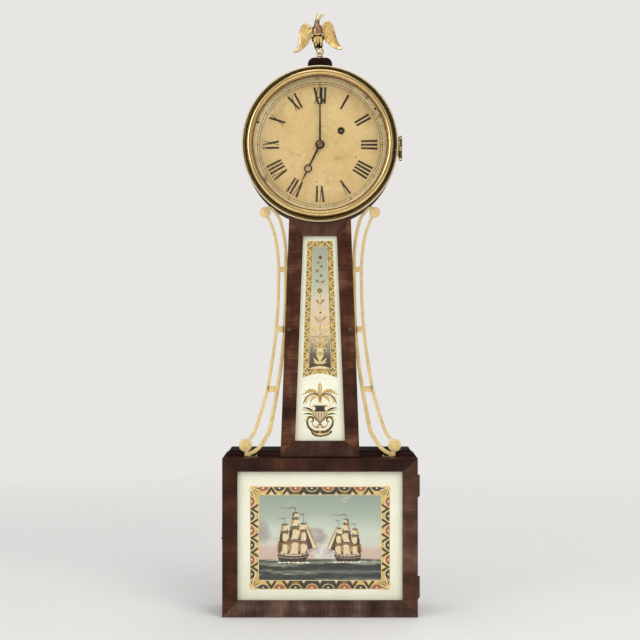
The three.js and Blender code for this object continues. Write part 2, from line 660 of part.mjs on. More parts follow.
// Slim pointed teeth; a tooth points at the mate.
function wheelTeeth({ teeth, root, crown, pitchRadius, halfWidth }, own, mate) {
  const points = [];
  const halfAngle = halfWidth / pitchRadius;
  for (let i = 0; i < teeth; i++) {
    const angle = (i * 2 * Math.PI) / teeth;
    for (const [radius, offset] of [[root, -halfAngle], [crown, 0], [root, halfAngle]]) {
      points.push([radius * Math.cos(angle + offset), radius * Math.sin(angle + offset)]);
    }
  }
  return spun(points, bearing(own, mate));
}

// Straight leaves; a gap between leaves points at the mate.
function pinionLeaves({ teeth, root, crown, halfWidth }, own, mate) {
  const tipHalf = halfWidth * 0.7;
  const leaf = [[root, -halfWidth], [crown, -tipHalf], [crown, tipHalf], [root, halfWidth]];
  const points = [];
  for (let i = 0; i < teeth; i++) points.push(...spun(leaf, (i * 2 * Math.PI) / teeth));
  return spun(points, bearing(own, mate) + Math.PI / teeth);
}

// Four windows between the spokes; insets are degrees from the quarter lines.
const windows = ({ outer, outerInset, steps, inner, innerInset }) => [0, 90, 180, 270].map((start) => [
  ...arc(0, 0, outer, start + outerInset, start + 90 - outerInset, steps),
  ...arc(0, 0, inner, start + 90 - innerInset, start + innerInset, 1),
]);

// ---- movement: going train ------------------------------------------------------------------
const CENTRE_WINDOWS = { outer: 15.4, outerInset: 12, steps: 4, inner: 6.5, innerInset: 22 };
const THIRD_WINDOWS = { outer: 10.6, outerInset: 14, steps: 3, inner: 4.8, innerInset: 24 };
const ESCAPE_WINDOWS = { outer: 9.6, outerInset: 14, steps: 3, inner: 4.2, innerInset: 26 };
const RATCHET = { teeth: 14, root: 7.2, tip: 9.2, lean: 0.1 }; // lean in radians
const ESCAPE_WHEEL = { teeth: 30, radius: 14, root: 11.2 };
// Profiles are radius, y.
const CENTRE_ARBOR = [
  [0, -81.2], [1.2, -81.2], [1.3, -29], [0.95, -28.6], [0.95, -22.9], [0.95, -20.9], [0, -20.9],
];
const DRUM_PROFILE = [
  [0, -66], [2.5, -66], [2.5, -47.2], [11.8, -47.2], [11.8, -46], [8.5, -45.6], [8.5, -31],
  [11.8, -30.6], [11.8, -29.4], [2.5, -29.2], [2.5, -22], [1.9, -21.6], [0, -21.6],
];
const THIRD_ARBOR = [
  [0, -54.7], [0.7, -54.7], [0.7, -52.6], [0.9, -52.3], [0.9, -48.6], [1.1, -48.2],
  [1.1, -23.6], [0.7, -23.3], [0.7, -21.3], [0, -21.3],
];
const ESCAPE_ARBOR = [
  [0, -54.7], [0.7, -54.7], [0.7, -52.6], [1, -52.3], [1, -48], [0.85, -47.6], [0.85, -43.6],
  [1, -43.2], [1, -23.6], [0.7, -23.3], [0.7, -21.3], [0, -21.3],
];
const CLICK_OUTLINE = [ // x, z
  [-1.6, 14.4], [-1.2, 16.6], [0.6, 17], [2, 15.6], [6.4, 12.2],
  [9.2, 9.4], [8.2, 8.6], [4.6, 10.6], [1.4, 13.4],
];

const centreWheel = () => join(
  sheet(pinionLeaves(GEARS.centrePinion, CENTRE, WINDING), -28.5, -24),
  sheet(wheelTeeth(GEARS.centre, CENTRE, THIRD), -51, -49.8, windows(CENTRE_WINDOWS)),
  turned(CENTRE_ARBOR, 10),
  rod(3.4, -52.4, -49, 10));

const greatWheel = () =>
  sheet(wheelTeeth(GEARS.great, WINDING, CENTRE), -27, -25, [circle(0, 0, 3, 12)]);

// Drum and arbor with a ratchet behind and a winding square in front.
function windingDrum() {
  const ratchet = [];
  for (let i = 0; i < RATCHET.teeth; i++) {
    const root = (i * 2 * Math.PI) / RATCHET.teeth;
    const tip = root + RATCHET.lean;
    ratchet.push(
      [RATCHET.root * Math.cos(root), RATCHET.root * Math.sin(root)],
      [RATCHET.tip * Math.cos(tip), RATCHET.tip * Math.sin(tip)]);
  }
  return join(turned(DRUM_PROFILE, 12), sheet(ratchet, -28.8, -27.5),
    rod(4, -29.6, -28, 10), sheet(circle(0, 0, 2.4, 4, 45), -71.2, -65));
}

const thirdWheel = () => join(
  sheet(pinionLeaves(GEARS.thirdPinion, THIRD, CENTRE), -52.2, -49),
  sheet(wheelTeeth(GEARS.third, THIRD, ESCAPE), -46, -44.8, windows(THIRD_WINDOWS)),
  turned(THIRD_ARBOR, 8),
  rod(2.6, -47.2, -44, 8));

function escapeWheel() {
  const pitch = (2 * Math.PI) / ESCAPE_WHEEL.teeth;
  const { radius: tip, root } = ESCAPE_WHEEL;
  const teeth = [];
  for (let i = 0; i < ESCAPE_WHEEL.teeth; i++) {
    for (const [radius, share] of [[tip, 0], [root, 0.22], [root, 0.78]]) {
      const angle = (i + share) * pitch;
      teeth.push([radius * Math.cos(angle), radius * Math.sin(angle)]);
    }
  }
  return join(
    sheet(pinionLeaves(GEARS.escapePinion, ESCAPE, THIRD), -47.4, -44),
    sheet(teeth, -40, -39, windows(ESCAPE_WINDOWS)),
    turned(ESCAPE_ARBOR, 8),
    rod(2.4, -41, -38.2, 8));
}

piece('movement', 'center_wheel', centreWheel(), brass());
piece('movement', 'great_wheel', greatWheel(), brass(), WINDING);
// Pawl standing off the ratchet, in front of the great wheel
piece('movement', 'click', sheet(CLICK_OUTLINE, -28.9, -27.4), steel(), WINDING);
piece('movement', 'winding_drum', windingDrum(), steel(), WINDING);
piece('movement', 'third_wheel', thirdWheel(), brass(), THIRD);
piece('movement', 'escape_wheel', escapeWheel(), brass(), ESCAPE);

// ---- movement: pallets ----------------------------------------------------------------------
const CRUTCH_OUTLINE = [ // x, z
  [-1.9, 1.8], [-1.9, -1], [-0.8, -2.4], [-0.8, -23],
  [0.8, -23], [0.8, -2.4], [1.9, -1], [1.9, 1.8],
];
const CRUTCH_PIN_Z = -22; // from the pallet arbor

// Recoil anchor, drawn with the escape wheel straight below the pallet arbor, then leaned to it.
function anchorOutline() {
  const lean = Math.atan2(-ESCAPE.x, SWING.z - ESCAPE.z);
  const distance = Math.hypot(ESCAPE.x, SWING.z - ESCAPE.z);
  const armRadius = ESCAPE_WHEEL.radius + 1;
  // clearance beyond armRadius about the wheel's centre, degrees from straight up
  const point = (clearance, angle) => [
    (armRadius + clearance) * Math.sin(radians(angle)),
    -distance + (armRadius + clearance) * Math.cos(radians(angle)),
  ];
  const points = [];
  for (let angle = -44; angle <= 44; angle += 11) points.push(point(3.6, angle));
  points.push(point(0.2, 48), point(0.1, 43));
  for (let angle = 36; angle >= -36; angle -= 12) points.push(point(1.5, angle));
  points.push(point(0.1, -43), point(0.2, -48));
  return spun(points, -lean);
}

// The anchor, its arbor, and the crutch in front of the front plate.
const palletAnchor = () => join(
  sheet(anchorOutline(), -40.3, -38.7),
  rod(2.4, -41.4, -37.6, 8),
  rod(0.9, -57.4, -21.3, 8),
  sheet(CRUTCH_OUTLINE, -57.5, -56.5),
  rod(0.75, -64.6, -56.8, 8, 0, CRUTCH_PIN_Z));

piece('movement', 'pallet_anchor', palletAnchor(), steel(), SWING);

// ---- movement: motion work ------------------------------------------------------------------
const cannonPinion = () => cut(
  join(
    sheet(pinionLeaves(GEARS.cannon, CENTRE, MINUTE), -58.9, -56.6),
    rod(2.4, -79.4, -55.6, 12)),
  rod(1.6, -90, -50, 10));
const minuteWheel = () => cut(
  join(
    sheet(wheelTeeth(GEARS.minute, MINUTE, CENTRE), -58.7, -57.6),
    sheet(pinionLeaves(GEARS.minutePinion, MINUTE, CENTRE), -61.6, -58)),
  rod(1.35, -70, -50, 8));
const hourWheel = () => cut(
  join(
    sheet(wheelTeeth(GEARS.hour, CENTRE, MINUTE), -61.3, -60.2),
    rod(3.9, -75.9, -60.2, 12)),
  rod(2.85, -90, -50, 12));

piece('movement', 'cannon_pinion', cannonPinion(), steel());
piece('movement', 'minute_wheel', minuteWheel(), brass(), MINUTE);
piece('movement', 'hour_wheel', hourWheel(), brass());

// ---- pendulum -------------------------------------------------------------------------------
const BOB_Z = -520;
const BOB_RADIUS = 30; // nominal; the rod's sections meet above it
const PENDULUM_Y = -62.5;
const BOB_PROFILE = [ // radius, y
  [0, -69], [12, -68], [22, -66], [28.6, -63.4], [29.6, -62.5],
  [28.6, -61.6], [22, -59], [12, -57], [0, -56],
];
const NUT_PROFILE = [ // radius, z
  [2, -556.5], [5, -556.5], [5, -552.6], [3, -552.6], [3, -550.6], [2, -550.6], [2, -556.5],
];

const pendulumBridge = () => join(
  block(-9, 9, -57.4, -55.3, 52.6, 62), block(-3.4, 3.4, -66, -56, 54.4, 59));

// Heights are counted from the suspension. The rod has an eye for the crutch pin and a ring
// around the centre arbor.
function pendulumRod() {
  const centreZ = -SWING.z;
  const bobTop = BOB_Z + BOB_RADIUS - SWING.z;
  const body = join(
    block(-2.2, 2.2, -63.6, -61.6, 5.4, 8), // top block of the suspension
    block(-1.8, 1.8, -62.7, -62.3, -6, 5.8), // suspension spring
    block(-2.4, 2.4, -63.4, -61.8, -13, -5), // block below the spring
    block(-1.3, 1.3, -63, -62, -38, -12),
    sheet(circle(0, CRUTCH_PIN_Z, 2.6, 10), -63, -62),
    sheet(circle(0, centreZ, 9.9, 18), -63, -62),
    block(-1.3, 1.3, -63, -62, bobTop + 6, centreZ - 8),
    block(-1.1, 1.1, -63.4, -61.6, -566 - SWING.z, bobTop + 8));
  return cut(body,
    sheet(circle(0, CRUTCH_PIN_Z, 1.3, 8), -70, -50), sheet(circle(0, centreZ, 7.6, 16), -70, -50));
}

const pendulumBob = () => cut(turned(BOB_PROFILE, 20), block(-1.5, 1.5, -63.8, -61.2, -40, 40));

piece('movement', 'pendulum_bridge', pendulumBridge(), brass());
piece('drive', 'pendulum_rod', pendulumRod(), iron(), SWING);
piece('drive', 'pendulum_bob', pendulumBob(), brass(), { z: BOB_Z });
piece('drive', 'rating_nut', turnedZ(NUT_PROFILE, 10, 0, PENDULUM_Y), brass());

// ---- weight, pulley and cord ----------------------------------------------------------------
const WEIGHT = { top: -460, bottom: -610 };
const PULLEY_PROFILE = [ // radius, y
  [1.8, -41.4], [20.4, -41.2], [20.4, -40.4], [18.1, -38.8], [18.1, -37.2],
  [20.4, -35.6], [20.4, -34.8], [1.8, -34.6], [1.8, -41.4],
];

// Body, shoulder, two straps and the pulley's axle.
const weight = () => join(
  block(-22, 22, -47.5, -24.5, WEIGHT.bottom, WEIGHT.top - 3),
  block(-18, 18, -45, -27, WEIGHT.top - 4, WEIGHT.top),
  block(-4, 4, -45.6, -43.4, WEIGHT.top - 2, PULLEY_Z + 5),
  block(-4, 4, -32.6, -30.4, WEIGHT.top - 2, PULLEY_Z + 5),
  rod(1.4, -44, -32, 8, 0, PULLEY_Z));

// One gut line: down from the drum, under the pulley, up to the post.
function weightCord() {
  const { y, thickness: reach } = CORD; // reach: middle to corner of the square section
  const radius = CORD.x + CORD.clearance;
  const line = [
    [radius, WINDING.z - 2], [radius, -200],
    ...arc(0, PULLEY_Z, radius, 0, -180, 12),
    [-radius, -200], [-radius, -23.2],
  ];
  return loft(line.map(([x, z], i) => {
    const [stepX, stepZ] = normalAt(line, i).map((part) => part * reach);
    return [
      [x - stepX, y, z - stepZ], [x, y + reach, z],
      [x + stepX, y, z + stepZ], [x, y - reach, z],
    ];
  }));
}

piece('drive', 'weight', weight(), iron());
piece('drive', 'pulley', turned(PULLEY_PROFILE, 20), brass(), { z: PULLEY_Z });
piece('drive', 'weight_cord', weightCord(), gut());
piece('drive', 'weight_baffle',
  sheet(taper(backHalf(-404), -404, backHalf(-112), -112), -51.6, -50.8), tin());

export default group;
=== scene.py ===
import math

import bpy
import bmesh
import numpy as np
from mathutils import Matrix, Vector

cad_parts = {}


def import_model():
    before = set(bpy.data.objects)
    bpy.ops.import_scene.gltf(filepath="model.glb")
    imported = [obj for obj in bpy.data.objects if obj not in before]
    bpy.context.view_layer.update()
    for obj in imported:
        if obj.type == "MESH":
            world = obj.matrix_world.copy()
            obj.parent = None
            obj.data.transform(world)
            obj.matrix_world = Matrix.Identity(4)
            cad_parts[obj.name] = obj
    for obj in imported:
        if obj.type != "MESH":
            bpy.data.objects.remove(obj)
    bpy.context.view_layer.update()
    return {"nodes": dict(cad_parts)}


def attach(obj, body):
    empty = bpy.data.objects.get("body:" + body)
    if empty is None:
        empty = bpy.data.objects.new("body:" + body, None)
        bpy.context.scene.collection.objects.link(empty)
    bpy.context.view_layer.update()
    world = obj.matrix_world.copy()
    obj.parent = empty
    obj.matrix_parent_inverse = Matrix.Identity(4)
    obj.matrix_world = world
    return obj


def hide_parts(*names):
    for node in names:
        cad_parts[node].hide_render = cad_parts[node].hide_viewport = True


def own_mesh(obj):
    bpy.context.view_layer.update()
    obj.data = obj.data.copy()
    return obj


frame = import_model()
scene = bpy.context.scene
MM = 0.001

# ------------------------------------------------------------------------------------------------
# shared sizes; HALF is half a width
# ------------------------------------------------------------------------------------------------
DRUM_R, DRUM_INNER_R = 103.5, 92.0
THROAT_TOP, THROAT_TOP_HALF = -103.9, 41.0
THROAT_LOW, THROAT_LOW_HALF = -413.8, 52.4
THROAT_SLOPE = (THROAT_LOW_HALF - THROAT_TOP_HALF) / (THROAT_TOP - THROAT_LOW)
BOX_HALF, BOX_TOP, BOX_LOW = 128.5, -414.6, -623.1
BOARD = 8.0  # thickness of the case boards
BOARD_GAP = 0.3  # clearance between boards
MITRE_GAP = 0.10
# openings of the two glazed frames
THROAT_SIGHT_TOP, THROAT_SIGHT_TOP_HALF = -121.8, 22.3
THROAT_SIGHT_LOW, THROAT_SIGHT_LOW_HALF = -392.8, 33.0
DOOR_SIGHT_HALF, DOOR_SIGHT_TOP, DOOR_SIGHT_LOW = 108.65, -432.1, -601.7
# painted scene on the door glass
PICTURE_HALF, PICTURE_TOP, PICTURE_LOW = 80.6, -463.6, -575.6
DIAL_FACE = -71.5
EAGLE_Y, EAGLE_X = -45.0, -3.6  # depth of the casting, and the upright line through its body
LEFT_RIGHT = ((-1, "left"), (1, "right"))


def throat_half(z):
    return THROAT_TOP_HALF + (THROAT_TOP - z) * THROAT_SLOPE


def drum_underside(x, gap):
    """Height of the drum's lower edge at x, kept clear by gap."""
    radius = DRUM_R + gap
    return -math.sqrt(radius * radius - x * x)


# ------------------------------------------------------------------------------------------------
# meshes
# ------------------------------------------------------------------------------------------------
def shade(mesh, angle):
    mesh.shade_smooth()
    mesh.set_sharp_from_angle(angle=math.radians(angle))


def place(obj, body, *nodes):
    """Lets obj stand for the frame's nodes and ride with body."""
    if nodes:
        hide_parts(*nodes)
    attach(obj, body)


class Piece:
    """Parts gathered into one object: points in millimetres, a material slot per face and a
    grain coordinate per point."""

    def __init__(self, *parts):
        self.points, self.faces, self.slots, self.grain = [], [], [], []
        for part in parts:
            self.add(part)

    def add(self, part, slot=0, grain=None):
        points, faces = part
        base = len(self.points)
        self.points += [tuple(p) for p in points]
        self.grain += [tuple(grain(p)) if grain else tuple(p) for p in points]
        self.faces += [tuple(i + base for i in face) for face in faces]
        self.slots += [slot] * len(faces)
        return self

    def make(self, name, materials, smooth=35):
        """The object; smooth is the angle above which edges stay sharp, None shades flat."""
        mesh = bpy.data.meshes.new(name)
        mesh.from_pydata([(x * MM, y * MM, z * MM) for x, y, z in self.points], [], self.faces)
        mesh.polygons.foreach_set("material_index", self.slots)
        for mat in materials:
            mesh.materials.append(mat)
        grain = mesh.attributes.new("gco", "FLOAT_VECTOR", "POINT")
        grain.data.foreach_set("vector", np.array(self.grain, np.float32).ravel())
        bm = bmesh.new()
        bm.from_mesh(mesh)
        bmesh.ops.recalc_face_normals(bm, faces=bm.faces)
        bm.to_mesh(mesh)
        bm.free()
        if smooth is None:
            mesh.shade_flat()
        else:
            shade(mesh, smooth)
        obj = bpy.data.objects.new(name, mesh)
        scene.collection.objects.link(obj)
        return obj

    def fit(self, name, materials, body, *nodes, smooth=35):
        place(self.make(name, materials, smooth), body, *nodes)


def evaluated_mesh(obj):
    depsgraph = bpy.context.evaluated_depsgraph_get()
    return bpy.data.meshes.new_from_object(obj.evaluated_get(depsgraph), depsgraph=depsgraph)


def bake_modifiers(obj):
    mesh = evaluated_mesh(obj)
    obj.modifiers.clear()
    obj.data = mesh
    return mesh


def block_cutter(x_span, y_span, z_span):
    return Piece(box(x_span, y_span, z_span, bevel=0)).make("cutter", [], None)


def subtract(obj, cutter):
    modifier = obj.modifiers.new("cut", "BOOLEAN")
    modifier.operation, modifier.object, modifier.solver = "DIFFERENCE", cutter, "EXACT"
    mesh = bake_modifiers(obj)
    bpy.data.objects.remove(cutter)
    return mesh


def signed_area(points):
    ahead = points[1:] + points[:1]
    return 0.5 * sum(x0 * z1 - x1 * z0 for (x0, z0), (x1, z1) in zip(points, ahead))


def plate(front, back, *loops, bevel=0.3, res=2):
    """A flat part drawn in X and Z, first loop outside and the rest holes, from Y = front to
    Y = back, with rounded edges."""
    depth = back - front
    bevel = min(bevel, depth * 0.49)
    curve = bpy.data.curves.new("tmp", "CURVE")
    curve.dimensions = "2D"
    curve.fill_mode = "BOTH"
    curve.extrude = depth / 2 - bevel
    curve.bevel_depth = bevel
    curve.bevel_resolution = res
    curve.offset = -bevel
    for number, points in enumerate(loops):
        points = list(points)
        if (signed_area(points) < 0) != (number > 0):
            points.reverse()
        spline = curve.splines.new("POLY")
        spline.points.add(len(points) - 1)
        homogeneous = np.array([(x, z, 0, 1) for x, z in points], np.float32)
        spline.points.foreach_set("co", homogeneous.ravel())
        spline.use_cyclic_u = True
    obj = bpy.data.objects.new("tmp", curve)
    scene.collection.objects.link(obj)
    mesh = evaluated_mesh(obj)
    bm = bmesh.new()
    bm.from_mesh(mesh)
    bmesh.ops.remove_doubles(bm, verts=bm.verts, dist=0.002)
    bmesh.ops.dissolve_degenerate(bm, edges=bm.edges, dist=0.0005)
    bmesh.ops.recalc_face_normals(bm, faces=bm.faces)
    bm.verts.index_update()
    middle = (front + back) / 2
    verts = [(v.co.x, middle - v.co.z, v.co.y) for v in bm.verts]
    faces = [tuple(v.index for v in f.verts) for f in bm.faces]
    bm.free()
    bpy.data.objects.remove(obj)
    bpy.data.curves.remove(curve)
    bpy.data.meshes.remove(mesh)
    return verts, faces


def laid_flat(part, height, up=-1, depth=0.0):
    """Turns an upright plate to lie level; its Y becomes the height."""
    verts, faces = part
    return [(x, depth + z, height + up * y) for x, y, z in verts], faces


def lathe(profile, segments, centre=(0.0, 0.0, 0.0), axis="Y"):
    """A turned part; profile is [(radius, along)], from axis to axis or closing on itself."""
    closed = profile[0] == profile[-1] and profile[0][0] > 1e-9
    if closed:
        profile = profile[:-1]
    verts, rings = [], []
    for radius, along in profile:
        if radius < 1e-9:
            rings.append([len(verts)] * segments)
            verts.append((0, along, 0))
        else:
            rings.append(list(range(len(verts), len(verts) + segments)))
            for i in range(segments):
                a = math.radians(360.0 * i / segments)
                verts.append((radius * math.cos(a), along, radius * math.sin(a)))
    faces = []
    count = len(profile)
    for k in range(count if closed else count - 1):
        here, ahead = rings[k], rings[(k + 1) % count]
        for i in range(segments):
            j = (i + 1) % segments
            face = list(dict.fromkeys((here[i], here[j], ahead[j], ahead[i])))
            if len(face) > 2:
                faces.append(face)
    cx, cy, cz = centre
    if axis == "Y":
        return [(cx + x, h + cy, cz + z) for x, h, z in verts], faces
    if axis == "Z":
        return [(cx + x, cy + z, cz + h) for x, h, z in verts], faces
    return [(cx + h, cy + x, cz + z) for x, h, z in verts], faces


def box(x_span, y_span, z_span, bevel=0.5, segments=2):
    (x0, x1), (y0, y1), (z0, z1) = x_span, y_span, z_span
    bm = bmesh.new()
    bmesh.ops.create_cube(bm, size=1)
    for v in bm.verts:
        v.co = Vector(((x0 + x1) / 2 + v.co.x * (x1 - x0), (y0 + y1) / 2 + v.co.y * (y1 - y0),
                       (z0 + z1) / 2 + v.co.z * (z1 - z0)))
    if bevel:
        bmesh.ops.bevel(bm, geom=bm.edges[:], offset=bevel, segments=segments, profile=0.5,
                        affect="EDGES")
    bm.verts.index_update()
    verts = [tuple(v.co) for v in bm.verts]
    faces = [tuple(v.index for v in f.verts) for f in bm.faces]
    bm.free()
    return verts, faces


def ellipsoid(centre, radii, turn, around, rows):
    """turn is a rotation matrix or None."""
    profile = [(math.sin(math.pi * k / rows) if 0 < k < rows else 0.0,
                -math.cos(math.pi * k / rows)) for k in range(rows + 1)]
    verts, faces = lathe(profile, around)
    out = []
    for x, y, z in verts:
        p = Vector((x * radii[0], y * radii[1], z * radii[2]))
        if turn:
            p = turn @ p
        out.append((p.x + centre[0], p.y + centre[1], p.z + centre[2]))
    return out, faces


def tube(points, radius, sides=8, flat=1.0):
    """A closed tube along 3-D points; radius may be a list, flat narrows it in depth."""
    radii = radius if isinstance(radius, (list, tuple)) else [radius] * len(points)
    path = [Vector(p) for p in points]
    verts, faces = [], []
    forward = Vector((0, 1, 0))
    for i, p in enumerate(path):
        along = (path[min(i + 1, len(path) - 1)] - path[max(i - 1, 0)]).normalized()
        u = forward - along * forward.dot(along)
        if u.length < 1e-4:
            u = Vector((1, 0, 0)) - along * along.x
        u.normalize()
        w = along.cross(u)
        for k in range(sides):
            a = 2 * math.pi * k / sides
            q = p + u * (math.cos(a) * radii[i] * flat) + w * (math.sin(a) * radii[i])
            verts.append(tuple(q))
    for i in range(len(path) - 1):
        for k in range(sides):
            a, b = i * sides + k, i * sides + (k + 1) % sides
            faces.append((a, b, b + sides, a + sides))
    faces.append(tuple(reversed(range(sides))))
    faces.append(tuple(range((len(path) - 1) * sides, len(path) * sides)))
    return verts, faces


# ------------------------------------------------------------------------------------------------
# outlines
# ------------------------------------------------------------------------------------------------
def arc(cx, cz, rx, rz, start, end, count):
    """count points on an ellipse, from start to end degrees."""
    return [(cx + rx * math.cos(a), cz + rz * math.sin(a))
            for a in np.radians(np.linspace(start, end, count))]


def circle(cx, cz, radius, count):
    return arc(cx, cz, radius, radius, 0, 360, count + 1)[:-1]


def trapezoid(low_half, low, top_half, top):
    return [(-low_half, low), (low_half, low), (top_half, top), (-top_half, top)]


def rect(half, low, top):
    return trapezoid(half, low, half, top)


def mirrored(points):
    """points followed by their mirror image in X, walked back."""
    return points + [(-x, z) for x, z in reversed(points)]


def smooth_line(points, per=6):
    """Catmull-Rom through 2-D points, per steps to a span."""
    out = []
    padded = [points[0]] + list(points) + [points[-1]]
    for i in range(1, len(padded) - 2):
        p0, p1, p2, p3 = (np.array(padded[k], float) for k in (i - 1, i, i + 1, i + 2))
        for step in range(per):
            t = step / per
            out.append(tuple(0.5 * (2 * p1 + (-p0 + p2) * t + (2 * p0 - 5 * p1 + 4 * p2 - p3) * t * t
                                    + (-p0 + 3 * p1 - 3 * p2 + p3) * t**3)))
    out.append(tuple(points[-1]))
    return out


def ribbon(line, start, end):
    """Outline of a bar along a 2-D line, its width running evenly from start to end."""
    left, right = [], []
    last = len(line) - 1
    for i, (x, z) in enumerate(line):
        x0, z0 = line[max(0, i - 1)]
        x1, z1 = line[min(last, i + 1)]
        length = math.hypot(x1 - x0, z1 - z0) or 1
        nx, nz = -(z1 - z0) / length, (x1 - x0) / length
        half = (start + (end - start) * (i / last)) / 2
        left.append((x + nx * half, z + nz * half))
        right.append((x - nx * half, z - nz * half))
    return left + right[::-1]


def leaf(cx, cz, heading, length, width, bend=0.0):
    """A pointed leaf from (cx, cz) along heading degrees, turning by bend towards its tip."""
    left, right = [], []
    steps = 9
    for i in range(steps + 1):
        t = i / steps
        a = math.radians(heading + bend * t)
        x = cx + length * t * math.cos(a)
        z = cz + length * t * math.sin(a)
        w = width / 2 * math.sin(math.pi * min(1.0, t**0.8)) if 0 < t < 1 else 0.02
        left.append((x - w * math.sin(a), z + w * math.cos(a)))
        right.append((x + w * math.sin(a), z - w * math.cos(a)))
    return left + right[::-1][1:-1]


# ------------------------------------------------------------------------------------------------
# shader building
# ------------------------------------------------------------------------------------------------
def rgba(value):
    return value if isinstance(value, bpy.types.NodeSocket) else (*value[:3], 1)


def srgb(*channels):
    """Linear colour from 0-255 display values."""
    shares = [c / 255 for c in channels]
    return tuple(c / 12.92 if c <= 0.04045 else ((c + 0.055) / 1.055) ** 2.4 for c in shares)


def tint(colour, gain, lift=0.0):
    return tuple(min(1.0, c * gain + lift) for c in colour)


class Shader:
    """The nodes of a material or world. Inputs take either a value or a socket."""

    def __init__(self, owner, output="OutputMaterial"):
        self.owner = owner
        owner.use_nodes = True
        self.tree = owner.node_tree
        self.tree.nodes.clear()
        self.out = self.node(output)

    def feed(self, socket, value):
        if isinstance(value, bpy.types.NodeSocket):
            self.tree.links.new(value, socket)
        elif value is not None:
            socket.default_value = value

    def node(self, kind, props=None, **inputs):
        """inputs are named as on the node, _ for a space, or i0, i1... by number."""
        node = self.tree.nodes.new("ShaderNode" + kind)
        for key, value in (props or {}).items():
            setattr(node, key, value)
        for key, value in inputs.items():
            numbered = key[0] == "i" and key[1:].isdigit()
            self.feed(node.inputs[int(key[1:]) if numbered else key.replace("_", " ")], value)
        return node

    def object_coords(self):
        return self.node("TexCoord").outputs["Object"]

    def map(self, vector, scale=(1, 1, 1), loc=(0, 0, 0), rot=(0, 0, 0)):
        return self.node("Mapping", Vector=vector, Scale=scale, Location=loc,
                         Rotation=rot).outputs[0]

    def millimetres(self):
        return self.map(self.object_coords(), scale=(1000, 1000, 1000))

    def noise(self, vector, scale, detail=4.0, rough=0.55, distort=0.0):
        return self.node("TexNoise", Vector=vector, Scale=scale, Detail=detail, Roughness=rough,
                         Distortion=distort).outputs["Fac"]

    def voronoi(self, vector, scale, feature="F1"):
        return self.node("TexVoronoi", {"feature": feature}, Vector=vector, Scale=scale,
                         Randomness=1.0).outputs["Distance"]

    def ramp(self, fac, stops):
        """stops are (position, colour)."""
        node = self.node("ValToRGB", Fac=fac)
        elements = node.color_ramp.elements
        while len(elements) < len(stops):
            elements.new(0.5)
        for element, (position, colour) in zip(elements, stops):
            element.position = position
            element.color = (*colour, 1)
        return node.outputs[0]

    def remap(self, value, span, to=(0.0, 1.0)):
        """value carried from the range span to the range to."""
        return self.node("MapRange", i0=value, i1=span[0], i2=span[1], i3=to[0],
                         i4=to[1]).outputs[0]

    def mix(self, fac, a, b, blend="MIX"):
        return self.node("Mix", {"data_type": "RGBA", "blend_type": blend},
                         i0=fac, i6=rgba(a), i7=rgba(b)).outputs[2]

    def math(self, operation, a, b=0.0, clamp=False):
        return self.node("Math", {"operation": operation, "use_clamp": clamp},
                         i0=a, i1=b).outputs[0]

    def add(self, a, b):
        return self.math("ADD", a, b)

    def sub(self, a, b):
        return self.math("SUBTRACT", a, b)

    def mul(self, a, b):
        return self.math("MULTIPLY", a, b)

    def weigh(self, a, share_a, b, share_b):
        return self.add(self.mul(a, share_a), self.mul(b, share_b))

    def swing(self, value, amount):
        """A 0-1 value centred on zero and scaled."""
        return self.mul(self.sub(value, 0.5), amount)

    def hypot(self, a, b):
        return self.math("SQRT", self.add(self.mul(a, a), self.mul(b, b)))

    def split(self, vector):
        return self.node("SeparateXYZ", Vector=vector).outputs

    def shift(self, vector, x, y, z):
        offset = self.node("CombineXYZ", X=x, Y=y, Z=z).outputs[0]
        return self.node("VectorMath", {"operation": "ADD"}, i0=vector, i1=offset).outputs[0]

    def bump(self, height, strength, dist):
        return self.node("Bump", Height=height, Strength=strength, Distance=dist).outputs[0]

    def edge(self, radius, samples):
        """1 on worn arrises, 0 on flats."""
        rounded = self.node("Bevel", {"samples": samples}, Radius=radius).outputs[0]
        normal = self.node("NewGeometry").outputs["Normal"]
        dot = self.node("VectorMath", {"operation": "DOT_PRODUCT"}, i0=rounded, i1=normal)
        return self.remap(dot.outputs["Value"], (0.995, 0.86))

    def principled(self, base, rough=0.5, metallic=0.0, normal=None, coat=0.0, coat_rough=0.1,
                   spec=0.5):
        return self.node("BsdfPrincipled", Base_Color=rgba(base), Roughness=rough,
                         Metallic=metallic, Specular_IOR_Level=spec, Coat_Weight=coat,
                         Coat_Roughness=coat_rough, Normal=normal).outputs[0]

    def mix_shader(self, fac, first, second):
        return self.node("MixShader", i0=fac, i1=first, i2=second).outputs[0]

    def finish(self, surface):
        self.tree.links.new(surface, self.out.inputs[0])
        return self.owner


def material(name):
    return Shader(bpy.data.materials.new(name))


